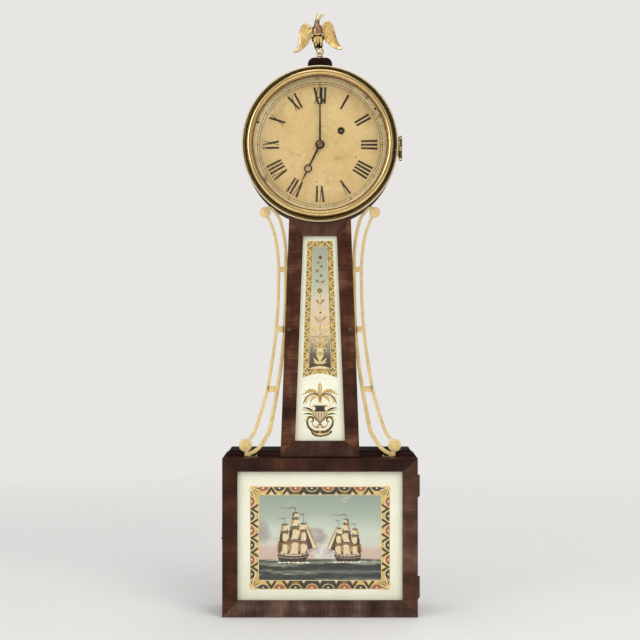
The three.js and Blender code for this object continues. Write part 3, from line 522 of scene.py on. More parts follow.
def wood(name, dark, mid, light, axis=None, coat=0.2, rough=0.42, figure=0.5, scale=1.0,
         wear=0.3, seed=0.0):
    """Wood with its grain along X of the grain coordinate, or along the object's axis."""
    m = material(name)
    if axis:
        turn = (0, math.pi / 2 if axis == "Z" else 0, 0)
        v = m.map(m.object_coords(), scale=(1000, 1000, 1000), rot=turn)
    else:
        v = m.node("Attribute", {"attribute_name": "gco"}).outputs["Vector"]
    v = m.map(v, loc=(seed * 37.1, seed * 11.3, seed * 5.7))

    def fibres(vector, along, across, detail, rough=0.55, rot=(0, 0, 0)):
        stretch = (along * scale, across * scale, across * scale)
        return m.noise(m.map(vector, scale=stretch, rot=rot), 1.0, detail, rough)

    warp = fibres(v, along=0.030, across=0.022, detail=2)
    warped = m.shift(v, 0.0, m.swing(warp, 9.0 * figure), 0.0)
    streak = fibres(warped, along=0.030, across=0.95, detail=4, rough=0.6)
    fine = fibres(warped, along=0.05, across=2.4, detail=2, rough=0.6)
    broad = fibres(warped, along=0.022, across=0.040, detail=3, rough=0.5)
    tone = m.add(m.mul(streak, 0.40), m.add(m.mul(broad, 0.66), m.swing(fine, 0.22)))
    if figure > 0.6:  # cross-lit ripple of figured mahogany
        ripple = fibres(v, along=0.11, across=0.02, detail=3, rough=0.5, rot=(0, 0, 0.25))
        tone = m.add(tone, m.swing(ripple, 0.20 * figure))
    colour = m.ramp(tone, [(0.34, dark), (0.54, mid), (0.74, light)])
    pore = m.remap(fibres(v, along=0.10, across=4.2, detail=1, rough=0.5), (0.30, 0.40), to=(1, 0))
    colour = m.mix(m.mul(pore, 0.4), colour, tint(dark, gain=0.4))
    patches = m.remap(m.noise(v, scale=0.12, detail=4), (0.42, 0.62), to=(0.15, 1.0))
    worn = m.mul(m.edge(radius=0.0008, samples=6), patches)
    colour = m.mix(m.mul(worn, wear), colour, tint(light, gain=1.8, lift=0.02))
    dirt = m.remap(m.noise(v, scale=0.03, detail=5, rough=0.6), (0.35, 0.7))
    roughness = m.add(m.mul(dirt, 0.16), m.add(m.mul(streak, 0.12), rough - 0.14))
    height = m.sub(m.mul(streak, 0.35), m.mul(pore, 0.5))
    return m.finish(m.principled(
        colour, roughness, normal=m.bump(height, strength=0.14, dist=0.00025), coat=coat * 0.4,
        coat_rough=m.remap(dirt, (0, 1), to=(0.14, 0.32)), spec=0.10))


def metal(name, base, dark, tarnish=0.7, rough=0.28, scratch=0.5, edge=0.0, scale=1.0,
          cavity=0.0, cavity_dist=0.003, metallic=1.0, spots=0.2, bump=0.10, relief=0.0):
    """Metal with tarnish blots, spots and scratches; cavity darkens hollows, relief picks out
    curvature, edge brightens arrises."""
    m = material(name)
    v = m.millimetres()
    cloud = m.noise(v, scale=0.055 * scale, detail=6, rough=0.62, distort=0.4)
    mottle = m.noise(v, scale=0.4 * scale, detail=5, rough=0.6)
    fine = m.noise(m.map(v, scale=(1, 1, 0.12)), scale=2.4 * scale, detail=3, rough=0.6)
    blot = m.remap(m.weigh(cloud, 0.65, mottle, 0.35), (0.4, 0.66))
    colour = m.mix(m.mul(blot, tarnish), base, dark)
    spot = m.remap(m.voronoi(v, scale=0.35 * scale), (0.05, 0.16), to=(1, 0))
    spot = m.mul(spot, m.remap(mottle, (0.5, 0.66)))
    colour = m.mix(m.mul(spot, spots), colour, tint(dark, gain=0.3))
    if cavity:
        open_sky = m.node("AmbientOcclusion", {"samples": 8}, Distance=cavity_dist).outputs["AO"]
        hollow = m.remap(open_sky, (0.45, 0.92), to=(1, 0))
        colour = m.mix(m.mul(hollow, cavity), colour, tint(dark, gain=0.30))
    if relief:
        point = m.node("NewGeometry").outputs["Pointiness"]
        low = m.mul(m.remap(point, (0.495, 0.44)), relief)
        colour = m.mix(low, colour, tint(dark, gain=0.35))
        high = m.mul(m.remap(point, (0.51, 0.56)), relief * 0.6)
        colour = m.mix(high, colour, tint(base, gain=1.25))
    if edge:
        arris = m.mul(m.edge(radius=0.0006, samples=5), edge * 0.6)
        colour = m.mix(arris, colour, tint(base, gain=1.25, lift=0.05))
    roughness = m.add(rough, m.mul(blot, 0.22))
    roughness = m.add(roughness, m.swing(fine, 0.18 * scratch))
    roughness = m.math("ADD", roughness, m.mul(spot, 0.3), clamp=True)
    normal = m.bump(m.weigh(fine, 0.5 * scratch, mottle, 0.5), strength=bump, dist=0.00012)
    return m.finish(m.principled(colour, roughness, metallic, normal))


def paint(name, colour, rough=0.4, coat=0.9, vary=0.3, metallic=0.0, wear=0.0, under=None):
    m = material(name)
    v = m.millimetres()
    broad = m.noise(v, scale=0.22, detail=5, rough=0.6)
    fine = m.noise(v, scale=1.6, detail=3, rough=0.6)
    tone = m.remap(m.weigh(broad, 0.6, fine, 0.4), (0.35, 0.65))
    shade_of = m.mix(tone, tint(colour, 1 - vary), tint(colour, 1 + vary))
    if wear:
        rubbed = m.remap(m.noise(v, scale=0.9, detail=5, rough=0.7), (0.56, 0.64))
        shade_of = m.mix(m.mul(rubbed, wear), shade_of, under)
    return m.finish(m.principled(
        shade_of, m.add(rough - 0.06, m.mul(broad, 0.12)), metallic,
        m.bump(fine, strength=0.05, dist=0.0001), coat, coat_rough=0.04))


# ------------------------------------------------------------------------------------------------
# woods: dark, middle and light colour
# ------------------------------------------------------------------------------------------------
VENEER = wood("veneer_mahogany", (0.016, 0.0046, 0.0022), (0.046, 0.0145, 0.0066),
              (0.105, 0.038, 0.018), figure=0.9)
VENEER_TOP = wood("veneer_mahogany_top", (0.011, 0.0030, 0.0016), (0.034, 0.0100, 0.0046),
                  (0.085, 0.029, 0.013), figure=0.7, seed=1.5)
# lighter copy of the door veneer for the right stile: painted light, as if that stile caught more of
# the lamp
VENEER_LIT_COPY = wood("veneer_mahogany_lit_copy", (0.030, 0.0125, 0.0075), (0.088, 0.038, 0.0215),
                    (0.185, 0.098, 0.064), figure=1.1, seed=2.5)
VENEER_FOOT = wood("veneer_mahogany_foot", (0.022, 0.0105, 0.0068), (0.078, 0.040, 0.027),
                   (0.190, 0.118, 0.088), figure=1.4, seed=6.5, scale=0.8)
VENEER_THROAT = wood("veneer_throat", (0.018, 0.0052, 0.0024), (0.062, 0.0200, 0.0090),
                     (0.185, 0.078, 0.034), figure=1.3, seed=3.0)
VENEER_THROAT_END = wood("veneer_throat_ends", (0.020, 0.0075, 0.0046), (0.058, 0.0240, 0.0150),
                         (0.115, 0.055, 0.038), figure=0.9, seed=4.0)
BOARDS_ACROSS = wood("mahogany_boards_across", (0.014, 0.0040, 0.0021), (0.040, 0.0120, 0.006),
                     (0.085, 0.030, 0.015), axis="X", rough=0.46, wear=0.35, seed=8.0)
DRUM_WOOD = wood("drum_mahogany", (0.012, 0.0034, 0.0018), (0.034, 0.0104, 0.0054),
                 (0.074, 0.026, 0.014), figure=0.8, rough=0.62, coat=0.0, wear=0.35, seed=2.0)
DARK_WOOD = wood("dark_moulding", (0.0075, 0.0021, 0.0013), (0.0190, 0.0060, 0.0031),
                 (0.044, 0.0155, 0.0080), figure=0.3, coat=0.25, rough=0.36, wear=0.25, seed=9.0)
PINE_BACK = wood("pine_back", (0.245, 0.135, 0.060), (0.33, 0.19, 0.085), (0.41, 0.25, 0.122),
                 axis="Z", coat=0.0, rough=0.72, figure=0.12, scale=0.6, seed=4.0, wear=0.1)
PINE_INSIDE = wood("pine_inside", (0.15, 0.075, 0.03), (0.26, 0.14, 0.06), (0.38, 0.23, 0.11),
                   axis="X", coat=0.0, rough=0.75, figure=0.2, scale=0.7, seed=6.0, wear=0.1)

# ------------------------------------------------------------------------------------------------
# metals: clean and tarnished colour
# ------------------------------------------------------------------------------------------------
BRASS = metal("brass_spun", (0.86, 0.64, 0.28), (0.52, 0.34, 0.13), tarnish=0.35, rough=0.15,
              scratch=0.35, scale=0.6, bump=0.03, edge=0.3)
# dark copy of the spun brass for the bezel's cavetto: a painted dark reflection
BRASS_GROOVE_DARK_REFLECTION = metal("brass_groove_painted_reflection", (0.19, 0.125, 0.048), (0.068, 0.042, 0.017), tarnish=0.6,
                     rough=0.22, scratch=0.4, scale=0.6, spots=0.3, bump=0.03)
# paler, rougher copy of the brass that reads bright under the lamps: painted highlight, on the rim
# bead and the bezel's hinge
BRASS_BEAD_LIT = metal("brass_bead_lit_copy", (0.95, 0.82, 0.52), (0.62, 0.46, 0.22), tarnish=0.4, rough=0.42,
                   scratch=0.4, scale=0.6, bump=0.03, metallic=0.75)
PUTTY = metal("glazing_line", (0.16, 0.055, 0.030), (0.07, 0.025, 0.014), tarnish=0.6, rough=0.6,
              scratch=0.2, metallic=0.0, spots=0.4)
BRASS_FLAT = metal("brass_sheet", (1.0, 0.77, 0.36), (0.64, 0.42, 0.16), tarnish=0.75, rough=0.34,
                   scratch=0.8, spots=0.6, metallic=0.62)
# dark copy of the arm brass for the arms' side faces: painted shade along their edges
BRASS_SIDE_SHADE = metal("brass_side_painted_shade", (0.36, 0.23, 0.085), (0.13, 0.080, 0.032), rough=0.42,
                   scratch=0.8, spots=0.5, metallic=0.8)
BRASS_AGED = metal("brass_aged", (0.60, 0.44, 0.20), (0.26, 0.17, 0.07), rough=0.34, scratch=0.8,
                   spots=0.4, edge=0.5)
BRONZE = metal("bronze_dark", (0.16, 0.105, 0.055), (0.050, 0.030, 0.017), tarnish=0.6, rough=0.40,
               spots=0.4, metallic=0.8, edge=0.5)
BRASS_WORKS = metal("brass_works", (0.74, 0.55, 0.25), (0.42, 0.28, 0.12), tarnish=0.5, rough=0.30,
                    scratch=0.9, spots=0.3)
GILT = metal("gilt_cast", (1.0, 0.73, 0.28), (0.50, 0.27, 0.085), tarnish=0.6, rough=0.30,
             scratch=0.3, scale=1.4, cavity=0.75, spots=0.1, relief=0.45, metallic=0.82)
GILT_BROWN = metal("gilt_rubbed", (0.50, 0.31, 0.18), (0.155, 0.078, 0.040), rough=0.24,
                   scratch=0.2, scale=3.0, cavity=0.4, relief=0.15, metallic=0.85)
# pale gilding: the head's own paler gilt, and painted highlight on the ball's front, the left wing's
# leading edge and the wing tips
GILT_PALE_AND_HIGHLIGHT = metal("gilt_pale_and_painted_highlight", (1.0, 0.84, 0.52), (0.66, 0.46, 0.20), tarnish=0.5, rough=0.26,
                  scratch=0.2, scale=3.0, cavity=0.5, cavity_dist=0.0024, spots=0.15, metallic=0.7)
# tan gilding: painted shade on the right wing's leading edge and along the left wing's trailing edge
# by the body
GILT_SHADE_TAN = metal("gilt_painted_shade", (0.62, 0.38, 0.15), (0.26, 0.135, 0.050), rough=0.32, scratch=0.3,
                 scale=1.6, cavity=0.7, spots=0.1, relief=0.45, metallic=0.85)
# darkest gilding: dark patina and painted shade between the thighs, behind the legs and under the
# breast's edge
GILT_DARK = metal("gilt_patina_and_painted_shade", (0.085, 0.050, 0.026), (0.030, 0.016, 0.009), rough=0.38,
                  scratch=0.3, scale=3.0, cavity=0.5)
STEEL = metal("steel_blued", (0.052, 0.050, 0.052), (0.030, 0.022, 0.016), rough=0.34,
              scratch=0.6, metallic=0.85, spots=0.3, edge=0.5)
STEEL_WORKS = metal("steel_works", (0.40, 0.39, 0.38), (0.22, 0.18, 0.14), tarnish=0.6, rough=0.30,
                    scratch=0.9, spots=0.4)
IRON = metal("iron_black", (0.060, 0.056, 0.052), (0.075, 0.045, 0.028), rough=0.58, metallic=0.7,
             spots=0.5, edge=0.5)
TIN = metal("tinplate", (0.46, 0.46, 0.45), (0.26, 0.24, 0.21), rough=0.42, scratch=0.6,
            spots=0.6, edge=0.5)


# ------------------------------------------------------------------------------------------------
# dial, glass and ground materials
# ------------------------------------------------------------------------------------------------
# x, z, radius, colour and strength of the stains on the dial
STAINS = (
    (-73.0, -47.0, 5.2, srgb(104, 100, 84), 0.75), (62.0, 62.5, 2.4, srgb(84, 68, 44), 0.7),
    (78.5, 38.0, 2.6, srgb(84, 68, 44), 0.7), (47.5, -16.5, 1.6, srgb(120, 84, 46), 0.8),
    (-4.5, -49.5, 1.6, srgb(150, 108, 60), 0.7), (26.0, -13.0, 15.0, srgb(196, 152, 92), 0.35),
)


def dial_material():
    m = material("dial_paint")
    v = m.millimetres()
    x, y, z = m.split(v)[:3]
    radius = m.hypot(x, z)
    big = m.noise(v, scale=0.022, detail=5, rough=0.6, distort=0.5)
    mid = m.noise(v, scale=0.12, detail=6, rough=0.65)
    fine = m.noise(v, scale=1.1, detail=4, rough=0.7)
    colour = m.ramp(m.weigh(big, 0.6, mid, 0.4), [
        (0.30, srgb(204, 168, 112)), (0.48, srgb(217, 185, 128)), (0.68, srgb(226, 198, 146))])
    # paler and greyer outside the minute track, partly the dial's own paler rim and partly painted
    # light that offsets the bezel's shadow there; dirty at the edge
    rim = m.remap(radius, (79.4, 84.4), to=(0, 0.85))
    pale = m.ramp(mid, [(0.32, srgb(238, 214, 160)), (0.68, srgb(254, 236, 190))])
    colour = m.mix(rim, colour, pale)
    smudge = m.remap(m.noise(v, scale=0.09, detail=6, rough=0.7), (0.52, 0.66), to=(0, 0.42))
    colour = m.mix(m.mul(m.remap(radius, (83.5, 87.5)), smudge), colour, srgb(120, 104, 78))
    for stain_x, stain_z, size, stain, strength in STAINS:
        dx = m.add(x, m.add(-stain_x, m.swing(mid, size * 1.6)))
        dz = m.add(z, m.add(-stain_z, m.swing(fine, size * 1.2)))
        inside = m.remap(m.hypot(dx, dz), (size * 0.5, size * 1.15), to=(strength, 0.0))
        colour = m.mix(inside, colour, stain)
    grime = m.noise(v, scale=0.05, detail=6, rough=0.7, distort=1.0)
    colour = m.mix(m.remap(grime, (0.54, 0.72), to=(0, 0.5)), colour, srgb(168, 126, 74))
    speck = m.remap(m.voronoi(v, scale=0.16), (0.03, 0.075), to=(1, 0))
    speck = m.mul(speck, m.remap(mid, (0.52, 0.60)))
    colour = m.mix(m.mul(speck, 0.55), colour, srgb(112, 78, 42))
    jittered = m.shift(v, m.mul(fine, 3.0), 0.0, m.mul(mid, 6.0))
    cells = m.voronoi(jittered, scale=0.09, feature="DISTANCE_TO_EDGE")
    crack = m.remap(cells, (0.0, 0.022), to=(1, 0))
    faint = m.remap(big, (0.42, 0.6), to=(0.05, 0.34))
    colour = m.mix(m.mul(crack, faint), colour, srgb(140, 104, 64))
    height = m.sub(m.mul(fine, 0.3), m.mul(crack, 0.6))
    return m.finish(m.principled(
        colour, m.add(0.44, m.mul(mid, 0.2)), coat=0.12, coat_rough=0.3,
        normal=m.bump(height, strength=0.12, dist=0.0002)))


def numeral_material():
    m = material("numeral_paint")
    v = m.millimetres()
    x, y, z = m.split(v)[:3]
    grain = m.noise(v, scale=0.8, detail=6, rough=0.75)
    broad = m.noise(v, scale=0.035, detail=3, rough=0.5)
    # the lower left is rubbed more than the upper right
    side = m.remap(m.weigh(x, 0.55, z, 0.85), (-80.0, 70.0), to=(0.075, -0.035))
    level = m.sub(m.weigh(grain, 0.75, broad, 0.25), 0.58)
    worn = m.remap(m.add(level, side), (0.0, 0.05), to=(0.0, 0.85))
    ink = m.mix(grain, (0.012, 0.009, 0.006), (0.040, 0.028, 0.016))
    return m.finish(m.principled(
        m.mix(worn, ink, srgb(186, 150, 100)), rough=0.42, coat=0.2, coat_rough=0.25,
        normal=m.bump(grain, strength=0.1, dist=0.0001)))


def glass_material():
    """Thin clear glass: mostly see-through, bright only where it turns away."""
    m = material("clear_glass")
    clear = m.node("BsdfTransparent", Color=(0.975, 0.98, 0.965, 1)).outputs[0]
    haze = m.remap(m.noise(m.millimetres(), scale=0.05, detail=4), (0.4, 0.7), to=(0.015, 0.05))
    gloss = m.node("BsdfGlossy", Color=(1, 1, 1, 1), Roughness=haze).outputs[0]
    fresnel = m.node("LayerWeight", Blend=0.12).outputs["Fresnel"]
    not_shadow = m.sub(1.0, m.node("LightPath").outputs["Is Shadow Ray"])
    amount = m.mul(m.remap(fresnel, (0, 1), to=(0.006, 0.22)), not_shadow)
    return m.finish(m.mix_shader(amount, clear, gloss))


def cream_material():
    m = material("tablet_cream")
    v = m.millimetres()
    broad = m.noise(v, scale=0.03, detail=5, rough=0.6)
    fine = m.noise(v, scale=0.5, detail=4, rough=0.6)
    tone = m.remap(broad, (0.35, 0.7), to=(0, 0.8))
    colour = m.mix(tone, srgb(238, 237, 215), srgb(228, 226, 200))
    speck = m.remap(m.voronoi(v, scale=0.11), (0.012, 0.03), to=(1, 0))
    colour = m.mix(m.mul(speck, 0.25), colour, srgb(150, 140, 110))
    return m.finish(m.principled(
        colour, m.add(0.32, m.mul(fine, 0.1)), normal=m.bump(fine, strength=0.03, dist=0.0001),
        coat=0.9, coat_rough=m.remap(broad, (0.3, 0.7), to=(0.02, 0.07))))


DIAL_PAINT = dial_material()
NUMERAL_PAINT = numeral_material()
TRACK_PAINT = paint("track_paint", srgb(74, 54, 30), rough=0.5, coat=0.1, wear=0.35,
                    under=srgb(160, 128, 84))
GLASS = glass_material()
CREAM = cream_material()
GOLD = paint("leaf_gold", (0.74, 0.50, 0.155), rough=0.34, vary=0.38, metallic=0.6)
GOLD_PALE = paint("leaf_pale", (0.84, 0.67, 0.32), rough=0.38, vary=0.22, metallic=0.35)
BLACK = paint("tablet_black", (0.016, 0.015, 0.010))
BRICK = paint("tablet_brick", srgb(158, 84, 50), vary=0.25)
GREEN = paint("tablet_green", srgb(38, 46, 34))
WHITE = paint("tablet_white", srgb(236, 230, 212), vary=0.08)
TAN = paint("sail_tan", srgb(170, 136, 92))
SAIL = paint("sail_cream", srgb(220, 203, 158), vary=0.15)
SAIL_DARK = paint("sail_dark", srgb(74, 50, 34), vary=0.35)
RUST = paint("tablet_rust", srgb(140, 66, 46), vary=0.2)
OLIVE = paint("tablet_olive", srgb(104, 88, 44))
RUST_SOFT = paint("tablet_rust_soft", srgb(128, 92, 58), vary=0.25)
OLIVE_DARK = paint("tablet_olive_dark", srgb(52, 44, 24), vary=0.35)
GOLD_WORN = paint("leaf_gold_worn", srgb(128, 92, 40), metallic=0.3)
UMBER = paint("tablet_umber", srgb(60, 42, 22))


def picture_material():
    """Sky, cloud and sea of the painted scene."""
    m = material("sea_picture")
    v = m.millimetres()
    x, y, z = m.split(v)[:3]

    def within(axis, centre, full, gone):
        """1 up to full millimetres from centre, 0 beyond gone."""
        return m.remap(m.math("ABSOLUTE", m.add(axis, -centre)), (full, gone), to=(1, 0))

    wobble = m.swing(m.noise(m.map(v, scale=(0.5, 1, 1)), scale=0.03, detail=3), 0.16)
    rise = m.add(m.remap(z, (PICTURE_LOW, PICTURE_TOP)), wobble)
    sky = m.ramp(rise, [
        (0.22, srgb(196, 168, 148)), (0.36, srgb(198, 174, 154)), (0.42, srgb(200, 198, 180)),
        (0.60, srgb(190, 200, 182)), (0.76, srgb(156, 168, 150)), (1.0, srgb(140, 152, 136))])
    billow = m.noise(m.map(v, scale=(0.8, 1, 1.25)), scale=0.045, detail=7, distort=0.6)
    # mauve bank on the left, a smaller one between the ships, a pale puff below it
    bank = m.mul(m.remap(x, (-84.0, -40.0), to=(1, 0)), within(z, -515.0, full=6.0, gone=30.0))
    small = m.mul(within(x, -6.0, full=6.0, gone=26.0), within(z, -519.0, full=3.0, gone=22.0))
    cloud = m.add(billow, m.mul(m.math("MAXIMUM", bank, small), 0.42))
    mauve = m.ramp(billow, [(0.35, srgb(134, 124, 120)), (0.7, srgb(176, 164, 154))])
    sky = m.mix(m.mul(m.remap(cloud, (0.62, 0.80)), 0.85), sky, mauve)
    puff = m.mul(within(x, 6.0, full=4.0, gone=24.0), within(z, -541.0, full=3.0, gone=20.0))
    puff = m.remap(m.add(billow, m.mul(puff, 0.45)), (0.62, 0.80))
    sky = m.mix(puff, sky, m.ramp(m.noise(v, scale=0.09, detail=6), [
        (0.35, srgb(176, 168, 160)), (0.65, srgb(224, 216, 204))]))

    swell = m.noise(m.map(v, scale=(0.30, 1, 1.7)), scale=0.060, detail=5, rough=0.60, distort=0.6)
    chop = m.noise(m.map(v, scale=(0.5, 1, 2.6)), scale=0.16, detail=5, rough=0.65)
    crest = m.math("SINE", m.weigh(z, 0.62, swell, 13.0))
    waves = m.add(m.weigh(swell, 0.30, chop, 0.45), m.mul(crest, 0.115))
    far = m.remap(z, (-556.0, -548.5), to=(0.0, 0.20))
    sea = m.ramp(m.add(waves, far), [
        (0.26, srgb(28, 32, 26)), (0.38, srgb(54, 58, 48)), (0.48, srgb(96, 100, 86)),
        (0.56, srgb(150, 152, 134)), (0.70, srgb(196, 194, 176))])
    is_sea = m.remap(m.add(z, m.swing(swell, 3.0)), (-548.6, -547.2), to=(1, 0))
    colour = m.mix(is_sea, sky, sea)
    brush = m.noise(m.map(v, scale=(0.6, 1, 2.0)), scale=1.2, detail=3, rough=0.7)
    strokes = m.ramp(brush, [(0.3, (0.25, 0.25, 0.25)), (0.7, (0.9, 0.9, 0.9))])
    colour = m.mix(0.10, colour, strokes, blend="OVERLAY")
    return m.finish(m.principled(colour, rough=0.4, coat=0.9, coat_rough=0.03,
                                 normal=m.bump(brush, strength=0.04, dist=0.0001)))


def panel_material():
    """Throat panel: blue-green at the top through pink to a dark foot."""
    m = material("throat_panel")
    v = m.millimetres()
    x, y, z = m.split(v)[:3]
    cloud = m.noise(v, scale=0.07, detail=6, rough=0.6, distort=0.4)
    colour = m.ramp(m.add(m.remap(z, (-298.0, -134.0)), m.swing(cloud, 0.10)), [
        (0.0, srgb(46, 34, 22)), (0.10, srgb(92, 82, 68)), (0.20, srgb(150, 142, 126)),
        (0.27, srgb(206, 178, 154)), (0.40, srgb(214, 188, 162)), (0.56, srgb(210, 196, 168)),
        (0.70, srgb(176, 180, 154)), (1.0, srgb(150, 160, 136))])
    return m.finish(m.principled(colour, rough=0.4, coat=0.9, coat_rough=0.03,
                                 normal=m.bump(cloud, strength=0.04, dist=0.0001)))


def gut_material():
    m = material("gut_line")
    v = m.millimetres()
    twist = m.node("TexWave", {"bands_direction": "Z"}, Vector=m.map(v, rot=(0, 0.7, 0)),
                   Scale=0.9, Distortion=0.4, Detail=1.0, Detail_Scale=1.0).outputs["Fac"]
    colour = m.mix(twist, srgb(140, 104, 58), srgb(196, 160, 104))
    dirt = m.mul(m.noise(v, scale=0.8, detail=4), 0.4)
    return m.finish(m.principled(m.mix(dirt, colour, srgb(110, 80, 46)), rough=0.55, coat=0.1,
                                 coat_rough=0.3, normal=m.bump(twist, strength=0.5, dist=0.0003)))


PICTURE_PAINT = picture_material()
PANEL_PAINT = panel_material()
GUT = gut_material()


# ------------------------------------------------------------------------------------------------
# veneered frames of the door and the throat
# ------------------------------------------------------------------------------------------------
def rail(piece, points, front, back, along, seed, slot=0):
    """One mitred rail; the grain runs in the X, Z direction along."""
    dx, dz = along
    piece.add(plate(front, back, points, bevel=0.55), slot,
              lambda p: (p[0] * dx + p[2] * dz + seed * 71.0,
                         -p[0] * dz + p[2] * dx + seed * 43.0, p[1] + seed * 17))


def core(piece, front, back, outline, opening):
    """Solid wood behind the veneer; it closes the mitres and leaves the glass rebate open."""
    piece.add(plate(front, back, outline, opening, bevel=0.2), 1, lambda p: (p[2], p[0], p[1]))


def door_frame():
    piece = Piece()
    gap, front, back = MITRE_GAP, -95.0, -78.0
    X, top, low = BOX_HALF, BOX_TOP, BOX_LOW
    x, sight_top, sight_low = DOOR_SIGHT_HALF, DOOR_SIGHT_TOP, DOOR_SIGHT_LOW
    rails = (  # outline, grain direction, seed, material slot
        ([(-X + gap, top), (X - gap, top), (x - gap, sight_top), (-x + gap, sight_top)],
         (0, 1), 1, 2),
        ([(-X + gap, low), (-x + gap, sight_low), (x - gap, sight_low), (X - gap, low)],
         (0, 1), 2, 3),
        ([(-X, top - gap), (-x, sight_top - gap), (-x, sight_low + gap), (-X, low + gap)],
         (1, 0), 3, 0),
        # right stile in slot 4, the lighter copy of the veneer: painted light
        ([(X, top - gap), (X, low + gap), (x, sight_low + gap), (x, sight_top - gap)],
         (1, 0), 4, 4),
    )
    for points, along, seed, slot in rails:
        rail(piece, points, front, back, along, seed, slot)
    core(piece, -93.5, -78.2, rect(X - 1, low + 1, top - 1),
         rect(x + 4, sight_low - 4, sight_top + 4))
    piece.fit("door_frame_veneer", [VENEER, BOARDS_ACROSS, VENEER_TOP, VENEER_FOOT, VENEER_LIT_COPY],
              "door", "door_frame")


def throat_frame():
    piece = Piece()
    gap, front, back = MITRE_GAP, -83.0, -71.0
    low, low_half = THROAT_LOW, THROAT_LOW_HALF
    sight_low, sight_low_half = THROAT_SIGHT_LOW, THROAT_SIGHT_LOW_HALF
    sight_top, sight_top_half = THROAT_SIGHT_TOP, THROAT_SIGHT_TOP_HALF

    def under(x):
        return drum_underside(x, 0.45)

    top_half = throat_half(under(39.8))
    top = under(top_half)
    # the top rail follows the drum; its mitres run from the sight corners to the outer corners
    edge = np.linspace(top_half - gap * 2, -top_half + gap * 2, 17)
    points = [(-sight_top_half + gap, sight_top), (sight_top_half - gap, sight_top)]
    rail(piece, points + [(x, under(x)) for x in edge], front, back, (0, 1), 5, 2)
    points = [(-low_half + gap, low), (low_half - gap, low),
              (sight_low_half - gap, sight_low), (-sight_low_half + gap, sight_low)]
    rail(piece, points, front, back, (0, 1), 6, 2)
    for s in (-1, 1):
        points = [(s * sight_low_half, sight_low + gap), (s * low_half, low + gap),
                  (s * top_half, top - gap), (s * sight_top_half, sight_top - gap)]
        lean = math.atan2(0.0368 * s, 1)
        rail(piece, points, front, back, (math.cos(lean), -math.sin(lean)), 7 + s)
    outline = [(-low_half + 1, low + 1), (low_half - 1, low + 1), (top_half - 1, top - 1.5)]
    outline += [(x, under(x) - 1) for x in np.linspace(top_half - 3, -top_half + 3, 11)]
    outline.append((-top_half + 1, top - 1.5))
    core(piece, -81.6, -71.2, outline,
         trapezoid(sight_low_half + 4, sight_low - 4, sight_top_half + 4, sight_top + 4))
    piece.fit("throat_frame_veneer", [VENEER_THROAT, BOARDS_ACROSS, VENEER_THROAT_END],
              "case", "throat_frame")


# ------------------------------------------------------------------------------------------------
# case boards
# ------------------------------------------------------------------------------------------------
def head_drum():
    inner, outer = DRUM_INNER_R, DRUM_R
    profile = [(inner, -79.2), (inner + 0.8, -80), (outer - 1.2, -80), (outer - 0.35, -79.65),
               (outer, -78.8), (outer, -0.8), (outer - 0.8, 0), (inner + 0.6, 0), (inner, -0.6)]
    segments, count = 144, len(profile)
    verts, faces = [], []
    for i in range(segments):
        a = math.radians(-90 + 360.0 * i / segments)
        verts += [(r * math.cos(a), y, r * math.sin(a)) for r, y in profile]
        k = (i + 1) % segments
        for q in range(count):
            p = (q + 1) % count
            faces.append((i * count + q, i * count + p, k * count + p, k * count + q))
    piece = Piece().add((verts, faces), 0, lambda p: (
        math.atan2(p[2], p[0]) * 103.0, p[1], math.hypot(p[0], p[2])))
    drum = piece.make("head_drum", [DRUM_WOOD], 40)
    # the ring is notched below, where the throat opens into it
    subtract(drum, block_cutter((-30.8, 30.8), (-72, 1), (-112, -60)))
    place(drum, "case", "head_ring")


def side_boards():
    def outer(z):
        return throat_half(z) - 2.5

    def inner(z):
        return outer(z) - BOARD

    foot = BOX_TOP + BOARD_GAP
    for s, tag in LEFT_RIGHT:
        points = [(s * inner(foot), foot), (s * outer(foot), foot)]
        points += [(s * x, drum_underside(x, 0.4)) for x in np.linspace(outer(-95), inner(-97), 5)]
        Piece().add(plate(-70.7, 0, points, bevel=0.5), 0,
                    lambda p: (p[2] + 400 * s, p[0] + p[1] * 1.0, p[1])).fit(
            f"throat_board_{tag}", [DRUM_WOOD], "case", f"throat_side_{tag}")
        x_span = sorted((s * (BOX_HALF - BOARD), s * BOX_HALF))
        Piece().add(box(x_span, (-77, 0), (BOX_LOW, BOX_TOP)), 0,
                    lambda p: (p[2] + 900 * s, p[1] + p[0] * 0.7, p[0])).fit(
            f"box_board_{tag}", [DRUM_WOOD], "case", f"box_side_{tag}")


def box_ends():
    half, front, back = BOX_HALF - BOARD - BOARD_GAP, -77, -BOARD - BOARD_GAP
    Piece().add(box((-half, half), (front, back), (BOX_LOW, BOX_LOW + BOARD), bevel=0.4), 0,
                lambda p: (p[0] + 1300, p[1], p[2])).fit(
        "box_bottom_board", [DRUM_WOOD], "case", "box_bottom")
    # the top is open in the middle, under the throat
    top = plate(0, BOARD, rect(half, front, back), rect(38, -72, -12), bevel=0.4)
    Piece().add(laid_flat(top, BOX_TOP - BOARD, up=1), 0,
                lambda p: (p[0] + 1700, p[1], p[2])).fit(
        "box_top_board", [DRUM_WOOD], "case", "box_top")


def back_board():
    """One board, round above, with the hanger's pocket left open at the back."""
    radius = DRUM_INNER_R - 0.5

    def waist(z):
        return throat_half(z) - 10.8

    start = math.degrees(math.asin(waist(-88) / radius))
    half, shoulder = BOX_HALF - BOARD - BOARD_GAP, BOX_TOP - BOARD_GAP
    outline = [(half, BOX_LOW), (half, shoulder), (waist(shoulder), shoulder)]
    outline += arc(0, 0, radius, radius, -90 + start, 270 - start, 161)
    outline += [(-waist(shoulder), shoulder), (-half, shoulder), (-half, BOX_LOW)]
    Piece(plate(-2.9, 0, outline, rect(14.4, 51.6, 80.4), bevel=0.25),
          plate(-BOARD, -2.85, outline, bevel=0.25)).fit(
        "back_board", [PINE_BACK], "case", "backboard")


